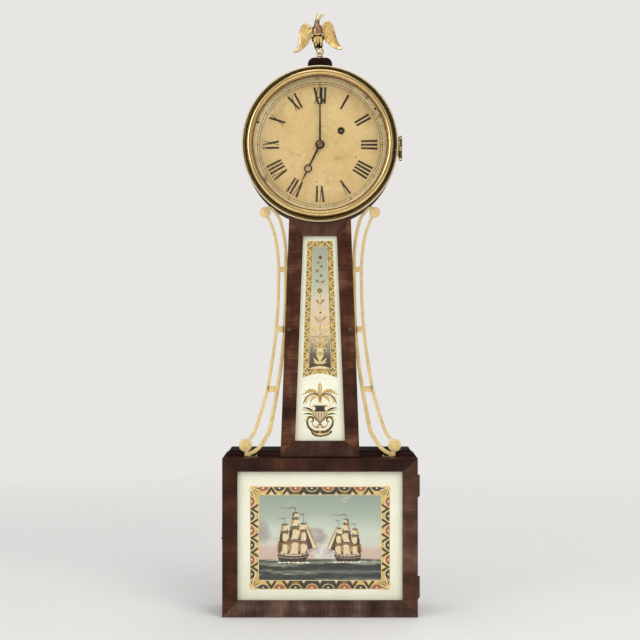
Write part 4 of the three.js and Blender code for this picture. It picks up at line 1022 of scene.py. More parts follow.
def hanger():
    keyhole = arc(0, 62.5, 4.5, 4.5, 125, 415, 29) + arc(0, 71, 2.4, 2.4, 0, 180, 15)
    piece = Piece(plate(-2.4, -0.4, rect(14, 52, 80), keyhole, bevel=0.25))
    screw = [(0, -0.9), (1.9, -0.9), (1.9, -0.15), (1.3, -0.02), (0, -0.02)]
    for x in (-10, 10):
        for z in (56, 76):
            piece.add(lathe(screw, 20, (x, 0, z)))
    piece.fit("hanger", [IRON], "case", "hanger_plate")


# inset and height along the section of the box's capping
CAPPING_SECTION = (
    (0.0, 0.0), (0.0, 0.70), (0.25, 0.95), (1.2, 1.15), (2.6, 1.6), (3.9, 2.35), (4.8, 3.3),
    (5.3, 4.3), (5.5, 4.9), (5.5, 5.25), (5.2, 5.4), (5.0, 5.75), (5.0, 6.2), (5.2, 6.65),
    (5.6, 6.95), (6.2, 7.05),
)


def cappings():
    """Cove-and-bead capping on the box, left and right of the throat."""
    inner = throat_half(-407.2) - 2.5 + 0.7
    for s, tag in LEFT_RIGHT:
        verts, faces = [], []
        for inset, height in CAPPING_SECTION:
            z = BOX_TOP + BOARD_GAP + height
            outer, front = 126.9 - inset, -66.6 + inset
            verts += [(s * inner, 0, z), (s * inner, front, z), (s * outer, front, z),
                      (s * outer, 0, z)]
        top = len(verts) - 4
        for a in range(0, top, 4):
            for k in range(4):
                b, c = a + k, a + (k + 1) % 4
                faces.append((b, c, c + 4, b + 4))
        faces.append((0, 3, 2, 1))
        faces.append((top, top + 1, top + 2, top + 3))
        Piece().add((verts, faces), 0, lambda p: (p[0] + s * 300, p[1] + p[2] * 3.0, p[2])).fit(
            f"capping_{tag}", [DARK_WOOD], "case", f"top_moulding_{tag}", smooth=50)


def plinth():
    """Block on top of the drum, with rounded shoulders."""
    outline = [(x, -drum_underside(x, 0.35) + 0.05) for x in np.linspace(-16.5, 16.5, 17)]
    outline += mirrored(arc(7.8, 108.7, 8.7, 9.8, 0, 90, 22))
    Piece().add(plate(-58, -32, outline, bevel=0.7, res=3), 0, lambda p: (p[0], p[2], p[1])).fit(
        "plinth_block", [DARK_WOOD], "case", "finial_plinth", smooth=40)


# ------------------------------------------------------------------------------------------------
# bezel, glass, dial
# ------------------------------------------------------------------------------------------------
def bezel():
    profile = [(91, -80.5), (103.0, -80.5), (103.3, -80.8), (103.3, -84.6)]
    profile += arc(102.25, -84.9, 1.05, -1.15, 0, 180, 13)  # rim bead
    profile += [(101.1, -84.5), (100.9, -84.3)]
    profile += arc(100.8, -90.9, 3.8, 6.6, 90, 180, 16)  # cavetto, inwards and then forwards
    profile += [(96.95, -91.3), (96.75, -91.6)]
    profile += arc(93.2, -92.3, 3.5, -3.5, -8, 184, 24)  # torus
    profile += [(89.6, -91.6), (89.35, -91.35), (88.9, -91.2), (88.4, -90.9), (88.1, -89.8),
                (88.0, -87.2), (88.3, -86.9), (91, -86.8), (91, -80.5)]
    ring = Piece(lathe(profile, 192)).make(
        "bezel_ring", [BRASS, BRASS_GROOVE_DARK_REFLECTION, PUTTY, BRASS_BEAD_LIT], 40)
    for face in ring.data.polygons:
        radius = math.hypot(face.center.x, face.center.z) * 1000
        y = face.center.y * 1000
        # the cavetto takes the dark copy of the brass: painted dark reflection
        if 96.85 < radius < 101.15 and y < -84.0:
            face.material_index = 1
        elif radius < 89.45 and y < -86.0:
            face.material_index = 2
        # the rim bead takes the bright copy of the brass: painted highlight
        elif radius >= 101.15:
            face.material_index = 3
    place(ring, "bezel_assembly", "bezel")


def dome_glass():
    rise, rim = 10.5, 87.2
    sphere = (rim * rim + rise * rise) / (2 * rise)

    def dome(radius, inset):
        height = math.sqrt((sphere - inset) ** 2 - radius**2) - (sphere - rise)
        return (radius, -86.5 - height)

    profile = [dome(r, 0) for r in np.linspace(0, rim, 22)]
    profile += [(87.6, -86.42), (90.6, -86.4), (90.6, -84.4), (87.4, -84.4)]
    profile += [dome(r, 2.0) for r in np.linspace(rim - 1, 0, 22)]
    Piece(lathe(profile, 128)).fit(
        "glass_dome", [GLASS], "bezel_assembly", "bezel_glass", smooth=60)


def dial_plate():
    wind_x, wind_z = 27.9, 18.6  # winding hole
    piece = Piece(plate(DIAL_FACE, -70, circle(0, 0, 91.2, 160), circle(0, 0, 5.2, 40),
                        circle(wind_x, wind_z, 4.5, 36), bevel=0.25))
    grommet = [(4.1, -71.2), (4.1, -71.75), (4.35, -71.95), (4.9, -71.95), (5.3, -71.7),
               (5.3, -71.45), (4.1, -71.2)]
    piece.add(lathe(grommet, 40, (wind_x, 0, wind_z)), 1)
    screw = [(0, -71.85), (1.2, -71.8), (1.6, -71.6), (1.6, -71.4), (0, -71.4)]
    for a in map(math.radians, (33, 160, 277)):
        piece.add(lathe(screw, 20, (87.6 * math.cos(a), 0, 87.6 * math.sin(a))), 2)
    piece.fit("dial_plate", [DIAL_PAINT, BRASS_AGED, STEEL], "case", "dial")


def minute_track():
    """Two fine circles and sixty strokes, heavier at the hours."""
    front, back = DIAL_FACE - 0.06, DIAL_FACE + 0.04
    piece = Piece()
    for radius, width in ((80.2, 0.55), (83.1, 0.62)):
        piece.add(plate(front, back, circle(0, 0, radius + width / 2, 180),
                        circle(0, 0, radius - width / 2, 180), bevel=0.01, res=0))
    for i in range(60):
        a = math.radians(90 - 6 * i)
        half, outer = (0.36 / 2, 83.0) if i % 5 else (0.85 / 2, 84.3)
        x, z = math.cos(a), math.sin(a)
        ends = ((80.3, 1), (outer, 1), (outer, -1), (80.3, -1))
        stroke = [(x * r - z * half * e, z * r + x * half * e) for r, e in ends]
        piece.add(plate(front - 0.005, back, stroke, bevel=0.01, res=0))
    piece.fit("minute_track", [TRACK_PAINT], "case", smooth=None)


# stroke width, then half the serif's width at its edge and towards the stroke, and its thickness
HEAVY = (3.35, 2.3, 1.55, 0.035)
FINE = (1.1, 1.7, 0.4, 0.028)
# cell width; bars by the places of their head and foot; serifs by place and end (1 is the head)
GLYPHS = {
    "I": (5.6, [(2.8, 2.8, HEAVY)], [(2.8, 0, HEAVY), (2.8, 1, HEAVY)]),
    "V": (9.6, [(2.3, 4.9, HEAVY), (7.7, 5.3, FINE)], [(2.3, 1, HEAVY), (7.7, 1, FINE)]),
    "X": (9.8, [(2.2, 7.6, HEAVY), (7.9, 1.9, FINE)],
          [(2.2, 1, HEAVY), (7.9, 1, FINE), (7.6, 0, HEAVY), (1.9, 0, FINE)]),
}


def numerals():
    """Roman numerals, feet towards the centre."""
    foot, head = 54.6, 76.2
    piece = Piece()
    hours = "I II III IIII V VI VII VIII IX X XI XII".split()
    for hour, text in enumerate(hours, 1):
        a = math.radians(90 - 30 * hour)
        cos, sin = math.cos(a), math.sin(a)
        start = -sum(GLYPHS[letter][0] for letter in text) / 2
        for letter in text:
            width, bars, serifs = GLYPHS[letter]
            quads = []
            for top, low, (wide, *_) in bars:
                half = wide / 2
                quads.append([(top - half, 1), (top + half, 1), (low + half, 0), (low - half, 0)])
            for at, end, (_, edge, root, thick) in serifs:
                near = end + (-thick if end else thick)
                quads.append([(at - edge, end), (at + edge, end), (at + root, near),
                              (at - root, near)])
            for quad in quads:
                points = []
                for across, up in quad:
                    radius = foot + (head - foot) * up
                    side = (start + across) * (0.80 + 0.12 * up)
                    points.append((cos * radius + sin * side, sin * radius - cos * side))
                piece.add(plate(-71.60, -71.46, points, bevel=0.012, res=0))
            start += width
    piece.fit("numerals", [NUMERAL_PAINT], "case", smooth=None)


# ------------------------------------------------------------------------------------------------
# hands
# ------------------------------------------------------------------------------------------------
def hand(name, boss, hole, ring, ring_hole, ring_at, tip, widths, front, turn, body, node):
    """Boss, shaft, ring and point in one outline, drawn upright and turned clockwise. widths
    are at the boss, below the ring, above it and at the tip."""
    leave = math.degrees(math.asin((widths[0] / 2) / boss))
    join = math.degrees(math.asin((widths[1] / 2) / ring))
    right = arc(0, 0, boss, boss, -90, 90 - leave, 30)
    right += arc(0, ring_at, ring, ring, -90 + join, 90 - join, 24)
    right += [(widths[2] / 2, ring_at + ring + 3), (widths[3] / 2 + 0.15, tip - 1.2), (0.001, tip)]
    outline = right + [(-x, z) for x, z in reversed(right)][1:-1]
    c, s = math.cos(turn), math.sin(turn)
    loops = [[(x * c + z * s, -x * s + z * c) for x, z in loop] for loop in (
        outline, circle(0, 0, hole, 36), circle(0, ring_at, ring_hole, 32))]
    Piece(plate(front, front + 1.1, *loops, bevel=0.28)).fit(name, [STEEL], body, node)


def hands():
    hand("minute_pointer", boss=5.6, hole=2.75, ring=5.0, ring_hole=3.5, ring_at=57.7, tip=83,
         widths=(2.5, 1.8, 1.6, 0.6), front=-78.6, turn=0.0, body="minute_arbor",
         node="minute_hand")
    hand("hour_pointer", boss=6.1, hole=4.3, ring=5.4, ring_hole=3.7, ring_at=35.6, tip=55.4,
         widths=(2.7, 2.2, 1.9, 0.6), front=-75.6, turn=math.radians(206.3), body="hour_pipe",
         node="hour_hand")
    collet = [(1.72, -81.3), (1.9, -81.5), (2.8, -81.5), (3.3, -81.2), (3.8, -80.5),
              (3.85, -80.1), (3.6, -79.9), (1.72, -79.9), (1.72, -81.3)]
    Piece(lathe(collet, 48)).fit("collet", [BRASS_AGED], "minute_arbor", "hand_collet")
    # tapered pin through the arbor, in front of the collet
    Piece(tube([(-3.4, -81.9, -1.2), (3.6, -81.9, 1.3)], [0.32, 0.5], 12)).fit(
        "hand_pin", [STEEL], "minute_arbor")


# ------------------------------------------------------------------------------------------------
# side arms; x and z down the middle of the right arm's inner and outer bars
# ------------------------------------------------------------------------------------------------
INNER_BAR = smooth_line([
    (70.5, -83.9), (65.2, -84.1), (57.8, -92.1), (52.8, -101.4), (48.1, -121.3), (45.8, -139.9),
    (45.4, -165.1), (45.8, -206.3), (47.2, -245), (50.9, -286), (56.7, -326), (61.6, -353),
    (66.7, -379), (71.2, -388.2), (76.5, -397), (82.5, -404), (89, -408.6), (96, -411.2)])
OUTER_BAR = smooth_line([
    (71.8, -93.4), (68.6, -97.4), (61.2, -116), (57.1, -137.3), (55.1, -165.1), (55.8, -206.3),
    (58.3, -244.9), (63.5, -286), (69.9, -324.6), (76.4, -348.5), (86.2, -379), (93.5, -391)])


def bar_x(line, z):
    for (x0, z0), (x1, z1) in zip(line, line[1:]):
        if (z0 - z) * (z1 - z) <= 0:
            return x0 + (z - z0) / ((z1 - z0) or 1) * (x1 - x0)


def arm_outlines():
    outlines = [ribbon(INNER_BAR, 3.8, 5.4), ribbon(OUTER_BAR, 3.7, 4.2)]
    flare = [(0, 1.5), (1.7, 1.5), (2.1, 0.4), (2.9, 0)]  # from the bar, added to the height
    for z, height in ((-165.5, 6.8), (-245.2, 8.0), (-325.0, 7.6)):
        inner, outer, low = bar_x(INNER_BAR, z), bar_x(OUTER_BAR, z), z - height / 2
        edge = [(inner + d, low - add) for d, add in flare]
        edge += [(outer - d, low - add) for d, add in reversed(flare)]
        outlines.append(edge + [(x, 2 * z - level) for x, level in reversed(edge)])
    outlines.append([(91.5, -414.2), (100.5, -414.2), (100.0, -406.5), (93.5, -408.0)])
    return outlines


def side_arm(s, tag):
    piece = Piece()
    for k, outline in enumerate(arm_outlines()):
        piece.add(plate(-70.45 + 0.02 * (k % 3), -67.55, [(s * x, z) for x, z in outline],
                        bevel=0.45, res=3))
    # turned discs with a stepped rim and a soft dome
    for x, z, r in ((72.9, -89.6, 7.0), (99.2, -399.7, 8.7)):
        profile = [(0, -71.15), (r * 0.35, -71.1), (r * 0.62, -70.95), (r * 0.72, -70.72),
                   (r * 0.78, -70.66), (r * 0.86, -70.8), (r * 0.94, -70.72), (r, -70.2),
                   (r, -67.9), (r - 0.4, -67.5), (0, -67.5)]
        piece.add(lathe(profile, 48, (s * x, 0, z)))
    # small pip at the shoulder of the inner bar
    pip = [(0, -71.1), (0.9, -71.0), (1.6, -70.7), (1.9, -70.3), (1.9, -69.0), (0, -69.0)]
    piece.add(lathe(pip, 20, (s * 56.4, 0, -91.6)))
    arm = piece.make(f"arm_{tag}", [BRASS_FLAT, STEEL, BRASS_SIDE_SHADE], 40)
    # side faces take the dark copy: painted shade outlining the bars
    for face in arm.data.polygons:
        if abs(face.normal.y) < 0.62 and face.material_index == 0:
            face.material_index = 2
    place(arm, "case", f"side_arm_{tag}")


def arm_foot(s, tag):
    """Foot plate lying on the box in front of the moulding, with its screw."""
    x0, x1 = sorted((s * 82.6, s * 95.5))
    foot = plate(0, 0.8, [(x0, -73.6), (x1, -73.6), (x1, -67.2), (x0, -67.2)], bevel=0.25)
    screw = [(0, 3.0), (0.9, 2.9), (1.7, 2.3), (1.9, 1.6), (1.5, 0.9), (1.5, 0.6), (0, 0.6)]
    Piece(laid_flat(foot, BOX_TOP + 0.82),
          lathe([(r, BOX_TOP + h) for r, h in screw], 20, (s * 84.2, -70.6, 0), "Z")).fit(
        f"arm_foot_{tag}", [BRASS_AGED], "case")


# ------------------------------------------------------------------------------------------------
# eagle finial
# ------------------------------------------------------------------------------------------------
# x and z along the leading and trailing edges, shoulder to tip, by side
WING_EDGES = {
    1: ([(5.6, 165.8), (9.8, 170.4), (13.7, 168.4), (17.7, 162.8), (20.0, 154.0), (23.9, 141.0),
         (28.2, 136.3), (30.2, 133.8)],
        [(4.4, 162.4), (4.0, 156.0), (4.6, 150.0), (6.6, 143.8), (12.2, 138.8), (18.8, 134.2),
         (25.0, 132.2), (29.8, 131.2)]),
    -1: ([(-15.4, 163.8), (-18.7, 167.1), (-23.3, 164.8), (-27.1, 156.6), (-28.2, 142.8),
          (-30.3, 135.6), (-33.5, 131.6), (-36.2, 128.5)],
         [(-13.2, 161.4), (-11.6, 156.0), (-11.4, 150.0), (-13.6, 144.2), (-20.6, 134.8),
          (-25.6, 130.9), (-31.0, 127.8), (-34.6, 127.1)]),
}
WING_LINES = {s: [smooth_line(edge, 4) for edge in edges] for s, edges in WING_EDGES.items()}
# rows of feathers: start and length along the wing, how many across, width factor
FEATHER_ROWS = (
    (0.04, 0.14, 4, 0.95), (0.12, 0.14, 5, 0.95), (0.20, 0.15, 6, 0.95), (0.29, 0.17, 6, 1.0),
    (0.39, 0.20, 7, 1.0), (0.50, 0.27, 7, 1.0), (0.62, 0.36, 6, 1.0),
)


def turned(axis, degrees):
    return Matrix.Rotation(math.radians(degrees), 3, axis)


def egg(piece, centre, radii, turn=None, around=14, rows=9):
    x, y, z = centre
    piece.add(ellipsoid((x, EAGLE_Y + y, z), radii, turn, around, rows))


def eagle_stand(piece):
    """Neck, ring and ball."""
    profile = [(0, 118.45), (3.6, 118.45), (3.5, 120.6), (3.8, 121.5), (4.35, 121.8),
               (4.6, 122.7), (4.35, 123.6), (3.3, 123.9), (2.8, 124.1)]
    profile += arc(0, 128.7, 5.2, 5.2, -56, 78, 18) + [(0, 133.9)]
    piece.add(lathe(profile, 40, (0, EAGLE_Y, 0), "Z"))


def eagle_body(piece):
    y = EAGLE_Y
    lumps = (  # x from the body's line, y, z; radii; turn about Y
        ((-0.2, -0.2, 157.2), (7.1, 5.9, 8.4), None),  # breast
        ((0.1, -0.2, 153.6), (6.4, 5.5, 4.0), None),
        ((0.9, 0.3, 146.0), (4.9, 4.4, 9.0), None),  # belly
        ((-0.5, 0.1, 166.0), (3.7, 3.6, 6.0), 3),  # neck
        ((0.1, -0.2, 171.4), (3.0, 3.0, 4.6), 12),
        ((2.0, -0.5, 175.6), (3.9, 3.0, 3.3), 18),  # head
        ((2.7, -0.6, 177.7), (3.1, 2.6, 2.5), 8),
    )
    for (dx, dy, z), radii, turn in lumps:
        egg(piece, (EAGLE_X + dx, dy, z), radii, turn and turned("Y", turn))
    # beak: thick root, hooked tip
    piece.add(tube([(0.6, y - 0.8, 177.5), (2.9, y - 0.9, 177.7), (4.6, y - 0.9, 177.0),
                    (5.3, y - 0.9, 175.4)], [1.8, 1.55, 1.05, 0.4], 12))
    egg(piece, (0.0, -3.1, 177.6), (0.8, 0.6, 0.7))  # eye
    egg(piece, (-0.6, -2.7, 178.8), (2.1, 0.8, 0.6), turned("Y", 10))  # brow
    # collar under the head and the lower edge of the breast plumage
    piece.add(tube([(EAGLE_X + 3.1 * math.sin(a), y - 3.2 * math.cos(a),
                     169.7 + 0.5 * math.cos(a)) for a in np.linspace(-1.5, 1.5, 12)], 0.6))
    piece.add(tube([(EAGLE_X + 6.9 * math.sin(a), y - 5.9 * math.cos(a),
                     150.6 + 3.4 * math.sin(a) ** 2) for a in np.linspace(-1.4, 1.4, 16)], 0.95))


def eagle_legs(piece):
    y = EAGLE_Y
    for s in (-1, 1):
        egg(piece, (-2.6 + s * 3.9, -2.0, 144.2), (2.4, 2.9, 5.6), turned("Y", -3 * s))
        egg(piece, (-1.9 + s * 3.2, -1.9, 137.0), (1.35, 1.5, 3.9), turned("Y", 4 * s))
        for k in (-1, 0, 1):  # toes on the ball
            piece.add(tube([(-1.4 + s * 2.7, y - 2.0, 133.8),
                            (-1.2 + s * 2.6 + k * 1.1, y - 3.6, 132.9),
                            (-1.0 + s * 2.5 + k * 1.5, y - 4.7, 131.0)], [0.85, 0.75, 0.35]))
    egg(piece, (-2.5, -3.4, 142.8), (1.3, 2.2, 5.4))  # slim form between the thighs
    # rump and tail coverts behind the legs close the gap to the wings
    egg(piece, (-3.2, 2.6, 147.0), (8.3, 2.6, 9.0))
    egg(piece, (-2.2, 2.4, 139.0), (6.2, 2.3, 8.0))
    for k in range(-2, 3):  # tail: a fan of five behind the ball
        egg(piece, (EAGLE_X + 1.9 + k * 1.5, 3.4, 138.0), (1.5, 0.9, 7.0),
            turned("Y", -(k * 9) * 0.8) @ turned("X", -8))


def eagle_breast(piece):
    """Two overlapping rows of scales."""
    for row in range(2):
        reach = 3.5 + 3.7 * math.sin(min(1, (row + 0.5) / 4.5) * math.pi / 2)
        middle = (4 + row % 2) / 2
        for k in range(5 + row % 2):
            angle = (k - middle) / middle * 72
            x = EAGLE_X - 0.2 + reach * math.sin(math.radians(angle))
            y = -reach * 0.82 * math.cos(math.radians(angle)) - 0.1
            egg(piece, (x, y + 0.36, 163.5 - row * 5.4), (1.2, 0.42, 2.0),
                turned("Z", angle) @ turned("X", 9), around=10, rows=6)


def wing(piece, s):
    lead, trail = WING_LINES[s]
    count = len(lead)

    def at(u, t):
        """Point u of the way from shoulder to tip and t from leading to trailing edge."""
        i = min(int(u * (count - 1)), count - 2)
        part = u * (count - 1) - i
        a = [lead[i][k] + (lead[i + 1][k] - lead[i][k]) * part for k in (0, 1)]
        b = [trail[i][k] + (trail[i + 1][k] - trail[i][k]) * part for k in (0, 1)]
        x, z = a[0] + (b[0] - a[0]) * t, a[1] + (b[1] - a[1]) * t
        # wings reach back at the shoulder and curl forwards at the tip
        y = (EAGLE_Y + 1.6 + 1.8 * math.sin(math.pi * min(1, u * 1.1)) - 3.4 * u * u
             + 1.0 * (t - 0.5) ** 2 * 4)
        return Vector((x, y, z))

    def deeper(point, y):
        return tuple(point + Vector((0, y, 0)))

    # core sheet, swept from sections across the wing
    verts, faces = [], []
    around, sections = 10, 20
    for i in range(sections + 1):
        u = i / sections
        for k in range(around):
            a = 2 * math.pi * k / around
            p = at(u, 0.5 - 0.5 * math.cos(a) * 0.98)
            verts.append((p.x, p.y + 1.05 * math.sin(a) * (1 - 0.45 * u), p.z))
    for i in range(sections):
        for k in range(around):
            a, b = i * around + k, i * around + (k + 1) % around
            faces.append((a, b, b + around, a + around))
    faces.append(tuple(range(around)))
    faces.append(tuple(reversed(range(sections * around, sections * around + around))))
    piece.add((verts, faces))
    # rolls along the leading edge and across the shoulder
    us = np.linspace(0.02, 0.97, 22)
    piece.add(tube([deeper(at(u, 0.03), -0.5) for u in us], [1.5 * (1 - 0.55 * u) for u in us], 10))
    piece.add(tube([tuple(at(0.0, 0.0)), deeper(at(0.0, 0.5), 0.2), tuple(at(0.02, 1.0))],
                   [1.5, 1.4, 1.3], 10))
    # shoulder bridge into the back
    bridge_z, bridge_half = (159.5, 4.4) if s > 0 else (157.5, 5.6)
    egg(piece, (EAGLE_X + s * 5.6, 1.8, bridge_z), (bridge_half, 2.4, 5.0), turned("Y", -8 * s))
    # rows of scallops, then long primaries; each is a lens with a raised quill
    for row, (start, length, across, fat) in enumerate(FEATHER_ROWS):
        lift = 1.0 + 0.08 * (len(FEATHER_ROWS) - row)
        for k in range(across):
            t = min(0.97, max(0.05, (k + 0.5 + (0.25 if row % 2 else -0.1)) / across))
            spine = [at(u, t) for u in np.linspace(start, min(1.0, start + length), 6)]
            span = at(start, min(1, t + 0.5 / across)) - at(start, max(0, t - 0.5 / across))
            width = max(0.7, min(2.1, span.length * 0.5 * fat))
            points = [deeper(p, -lift * (0.85 + 0.5 * q / 5)) for q, p in enumerate(spine)]
            radii = [width * share for share in (0.45, 0.9, 1.0, 1.0, 0.8, 0.3)]
            piece.add(tube(points, radii, flat=0.38))
            piece.add(tube([(x, y - 0.30, z) for x, y, z in points],
                           [0.16, 0.26, 0.26, 0.22, 0.18, 0.1], 6))
            if row % 2 == 0:  # the back of the wing gets every other row, lower
                piece.add(tube([deeper(p, 0.95) for p in spine], radii, flat=0.34))


def eagle_slot(x, y, z):
    """Gilding at a place: 0 bright, 1 brown, 2 dark (patina and painted shade), 3 pale (pale head,
    painted highlight elsewhere), 4 tan (painted shade).
    """
    y -= EAGLE_Y
    breast_half = 7.6 if z < 163 else 7.6 - (z - 163) * 0.55
    if 151.6 < z < 171.5 and abs(x + 3.8) < breast_half and y < 1.8:
        return 1
    # under the breast's edge and behind the legs: the dark gilding, painted shade with dark patina
    if 148.9 < z <= 151.6 and abs(x + 3.0) < 6.8 and -5.2 < y < 1.0:
        return 2
    if 130.6 < z < 149.5 and abs(x + 2.7) < 8.4 and (y > -2.4 or z < 136.4 and y > -4.3):
        return 2
    # the ball's front gets painted highlight, the head its paler gilt
    if (z < 131.5 and y < 0 and abs(x) < 5.6) or (z > 171.5 and abs(x) < 9):
        return 3
    if abs(x + 3.8) > 8.2 and y < 1.2:
        s = 1 if x > 0 else -1
        from_lead, from_trail = (
            np.min(np.hypot(*(np.array(line) - (x, z)).T)) for line in WING_LINES[s])
        wobble = 0.9 * math.sin(z * 0.9) + 0.5 * math.sin(z * 2.3 + x)
        # painted light on the wings, as if lit from the upper left: pale highlight on the left
        # wing's leading edge and tips, tan shade on the right wing's leading edge and by the left
        # wing's root
        if s < 0:
            if from_lead < 2.4 + 0.6 * wobble or z < 133.0 + wobble:
                return 3
            if from_trail < 1.8 + 0.6 * wobble and z > 147:
                return 4
        elif z < 135.0 + wobble and x > 24.5:
            return 3
        elif from_lead < 2.5 + 0.7 * wobble and z < 163:
            return 4
    return 0


def eagle():
    piece = Piece()
    eagle_stand(piece)
    eagle_body(piece)
    eagle_legs(piece)
    eagle_breast(piece)
    for s in (1, -1):
        wing(piece, s)
    cast = piece.make("eagle_cast", [GILT], 60)
    # fuse everything into one casting
    fuse = cast.modifiers.new("fuse", "REMESH")
    fuse.mode = "VOXEL"
    fuse.voxel_size = 0.00036
    soften = cast.modifiers.new("soft", "SMOOTH")
    soften.factor, soften.iterations = 0.45, 2
    mesh = bake_modifiers(cast)
    mesh.shade_smooth()
    if not mesh.materials:  # the remesh may drop the first slot
        mesh.materials.append(GILT)
    for mat in (GILT_BROWN, GILT_DARK, GILT_PALE_AND_HIGHLIGHT, GILT_SHADE_TAN):
        mesh.materials.append(mat)
    for face in mesh.polygons:
        slot = eagle_slot(*(c * 1000 for c in face.center))
        if slot:
            face.material_index = slot
    place(cast, "case", "eagle_finial")


# ------------------------------------------------------------------------------------------------
# painted glasses
# ------------------------------------------------------------------------------------------------
class Art:
    """Thin painted shapes laid on a glass at Y = y, each layer a hair in front of the last."""

    def __init__(self, y):
        self.piece, self.y, self.paints, self.count = Piece(), y, [], 0

    def lay(self, colour, layer, *loops):
        if colour not in self.paints:
            self.paints.append(colour)
        self.count += 1
        # neighbours in one layer are staggered too, so that they never share a plane
        front = self.y - 0.026 * layer - 0.0011 * (self.count % 21)
        self.piece.add(plate(front, self.y + 0.02, *loops, bevel=0.004, res=0),
                       self.paints.index(colour))

    def line(self, colour, layer, points, start, end):
        """A stroke whose width runs from start to end."""
        self.lay(colour, layer, ribbon(points, start, end))

    def fit(self, name, body):
        self.piece.fit(name, self.paints, body, smooth=None)


def band(art, outer, inner, units, layer, draw):
    """Patterned band between two four-cornered outlines, each listed round from lower left.
    units are the count and pitch of the pattern on each side; draw lays the pattern."""
    art.lay(GOLD, layer, outer, inner[::-1])
    for side, (count, pitch) in enumerate(units):
        after = (side + 1) % 4
        o0, o1 = np.array(outer[side]), np.array(outer[after])
        i0, i1 = np.array(inner[side]), np.array(inner[after])
        length = np.linalg.norm(o1 - o0)
        along = (o1 - o0) / length
        inwards = np.array((-along[1], along[0]))
        if np.dot(i0 - o0, inwards) < 0:
            inwards = -inwards
        depth = abs(np.dot(i0 - o0, inwards))
        first = (length - pitch * (count - 1)) / 2

        def at(run, height):
            return tuple(o0 + along * run + inwards * height)

        draw(at, side, count, pitch, first, depth, length)
        art.lay(GOLD_PALE, layer + 5, [at(0, 0), at(length, 0), at(length - 0.5, 0.7), at(0.5, 0.7)])
        art.lay(GOLD_PALE, layer + 5,
                [tuple(i0), tuple(i1), tuple(i1 - inwards * 0.7), tuple(i0 - inwards * 0.7)])


def door_band(art, outer, inner, layer):
    """Domes with spearheads between them, and a fan of leaves in each corner."""
    def draw(at, side, count, pitch, first, depth, length):
        level = side in (0, 2)
        if level:  # the ground darkens along the middle of the long sides
            for k in range(14):
                x0, x1 = length * (0.26 + 0.034 * k), length * (0.26 + 0.034 * (k + 1))
                art.lay(OLIVE_DARK if 2 < k < 11 else GOLD_WORN, layer + 1, [
                    at(x0, 0.5), at(x1, 0.5), at(x1, depth - 0.5), at(x0, depth - 0.5)])
        half, rise, far = pitch * 0.35, depth * 0.54, depth - 0.3
        for k in range(count):
            c = first + pitch * k

            def dome(rx, rz):
                return [at(x, max(0.3, z)) for x, z in arc(c, 0, rx, rz, 0, 180, 17)]

            art.lay(GOLD if level else GOLD_PALE, layer + 2, dome(half + 1.0, rise + 1.1))
            shift = 0 if side == 3 else 1
            art.lay((BRICK, GREEN)[(k + shift) % 2], layer + 3, dome(half, rise))
            art.lay(WHITE, layer + 4,
                    [at(*p) for p in arc(c, depth * 0.20, 1.25, 0.9, 0, 360, 15)[:-1]])
        for k in range(count - 1):
            c = first + pitch * (k + 0.5)
            art.lay(BLACK if level else OLIVE_DARK, layer + 3, [
                at(c - pitch * 0.37, far), at(c - pitch * 0.03, 0.5), at(c + pitch * 0.03, 0.5),
                at(c + pitch * 0.37, far), at(c + pitch * 0.21, far), at(c, depth * 0.42),
                at(c - pitch * 0.21, far)])
            art.lay(SAIL, layer + 4, [
                at(c - pitch * 0.12, far), at(c, depth * 0.62), at(c + pitch * 0.12, far)])

    band(art, outer, inner, [(8, 21.4), (6, 19.2)] * 2, layer, draw)
    for (x, z), (inner_x, inner_z) in zip(outer, inner):
        dx, dz = inner_x - x, inner_z - z
        base, diagonal = math.degrees(math.atan2(dz, dx)), math.hypot(dx, dz)

        def ray(colour, over, swing, start, length, width):
            a = math.radians(base + swing)
            art.lay(colour, layer + over, leaf(x + start * math.cos(a), z + start * math.sin(a),
                                               base + swing, length, width))

        for swing in (-29, -10, 10, 29):
            ray(UMBER, 6, swing, diagonal * 0.36, diagonal * 0.50, diagonal * 0.08)
        for swing, colour, share in ((-38, GOLD, 0.72), (-20, GOLD_PALE, 0.84), (0, GOLD, 0.9),
                                     (20, GOLD_PALE, 0.84), (38, GOLD, 0.72)):
            ray(colour, 5, swing, 1.2, diagonal * share, diagonal * 0.17)


def throat_band(art, outer, inner, layer):
    def draw(at, side, count, pitch, first, depth, length):
        far = depth - 0.3
        for k in range(count):
            c = first + pitch * k
            art.lay(OLIVE_DARK, layer + 2, [
                at(c - pitch * 0.44, far), at(c - pitch * 0.03, depth * 0.14),
                at(c + pitch * 0.03, depth * 0.14), at(c + pitch * 0.44, far),
                at(c + pitch * 0.29, far), at(c, depth * 0.46), at(c - pitch * 0.29, far)])
            art.lay(UMBER, layer + 2, [
                at(c - pitch * 0.13, far), at(c, depth * 0.70), at(c + pitch * 0.13, far)])
            for e in (-pitch, pitch):
                art.lay(GOLD_PALE, layer + 4, [
                    at(c, 0.45), at(c + e * 0.10, depth * 0.20), at(c + e * 0.33, depth * 0.62),
                    at(c + e * 0.37, depth - 0.5), at(c + e * 0.22, depth * 0.70),
                    at(c + e * 0.03, depth * 0.30)])
                art.lay((BLACK, BRICK)[k % 2], layer + 3, [
                    at(c + e * 0.26, 0.6), at(c + e * 0.43, 0.6), at(c + e * 0.36, depth * 0.50)])

    band(art, outer, inner, [(3, 13.0), (13, 13.5), (2, 13.5), (13, 13.5)], layer, draw)


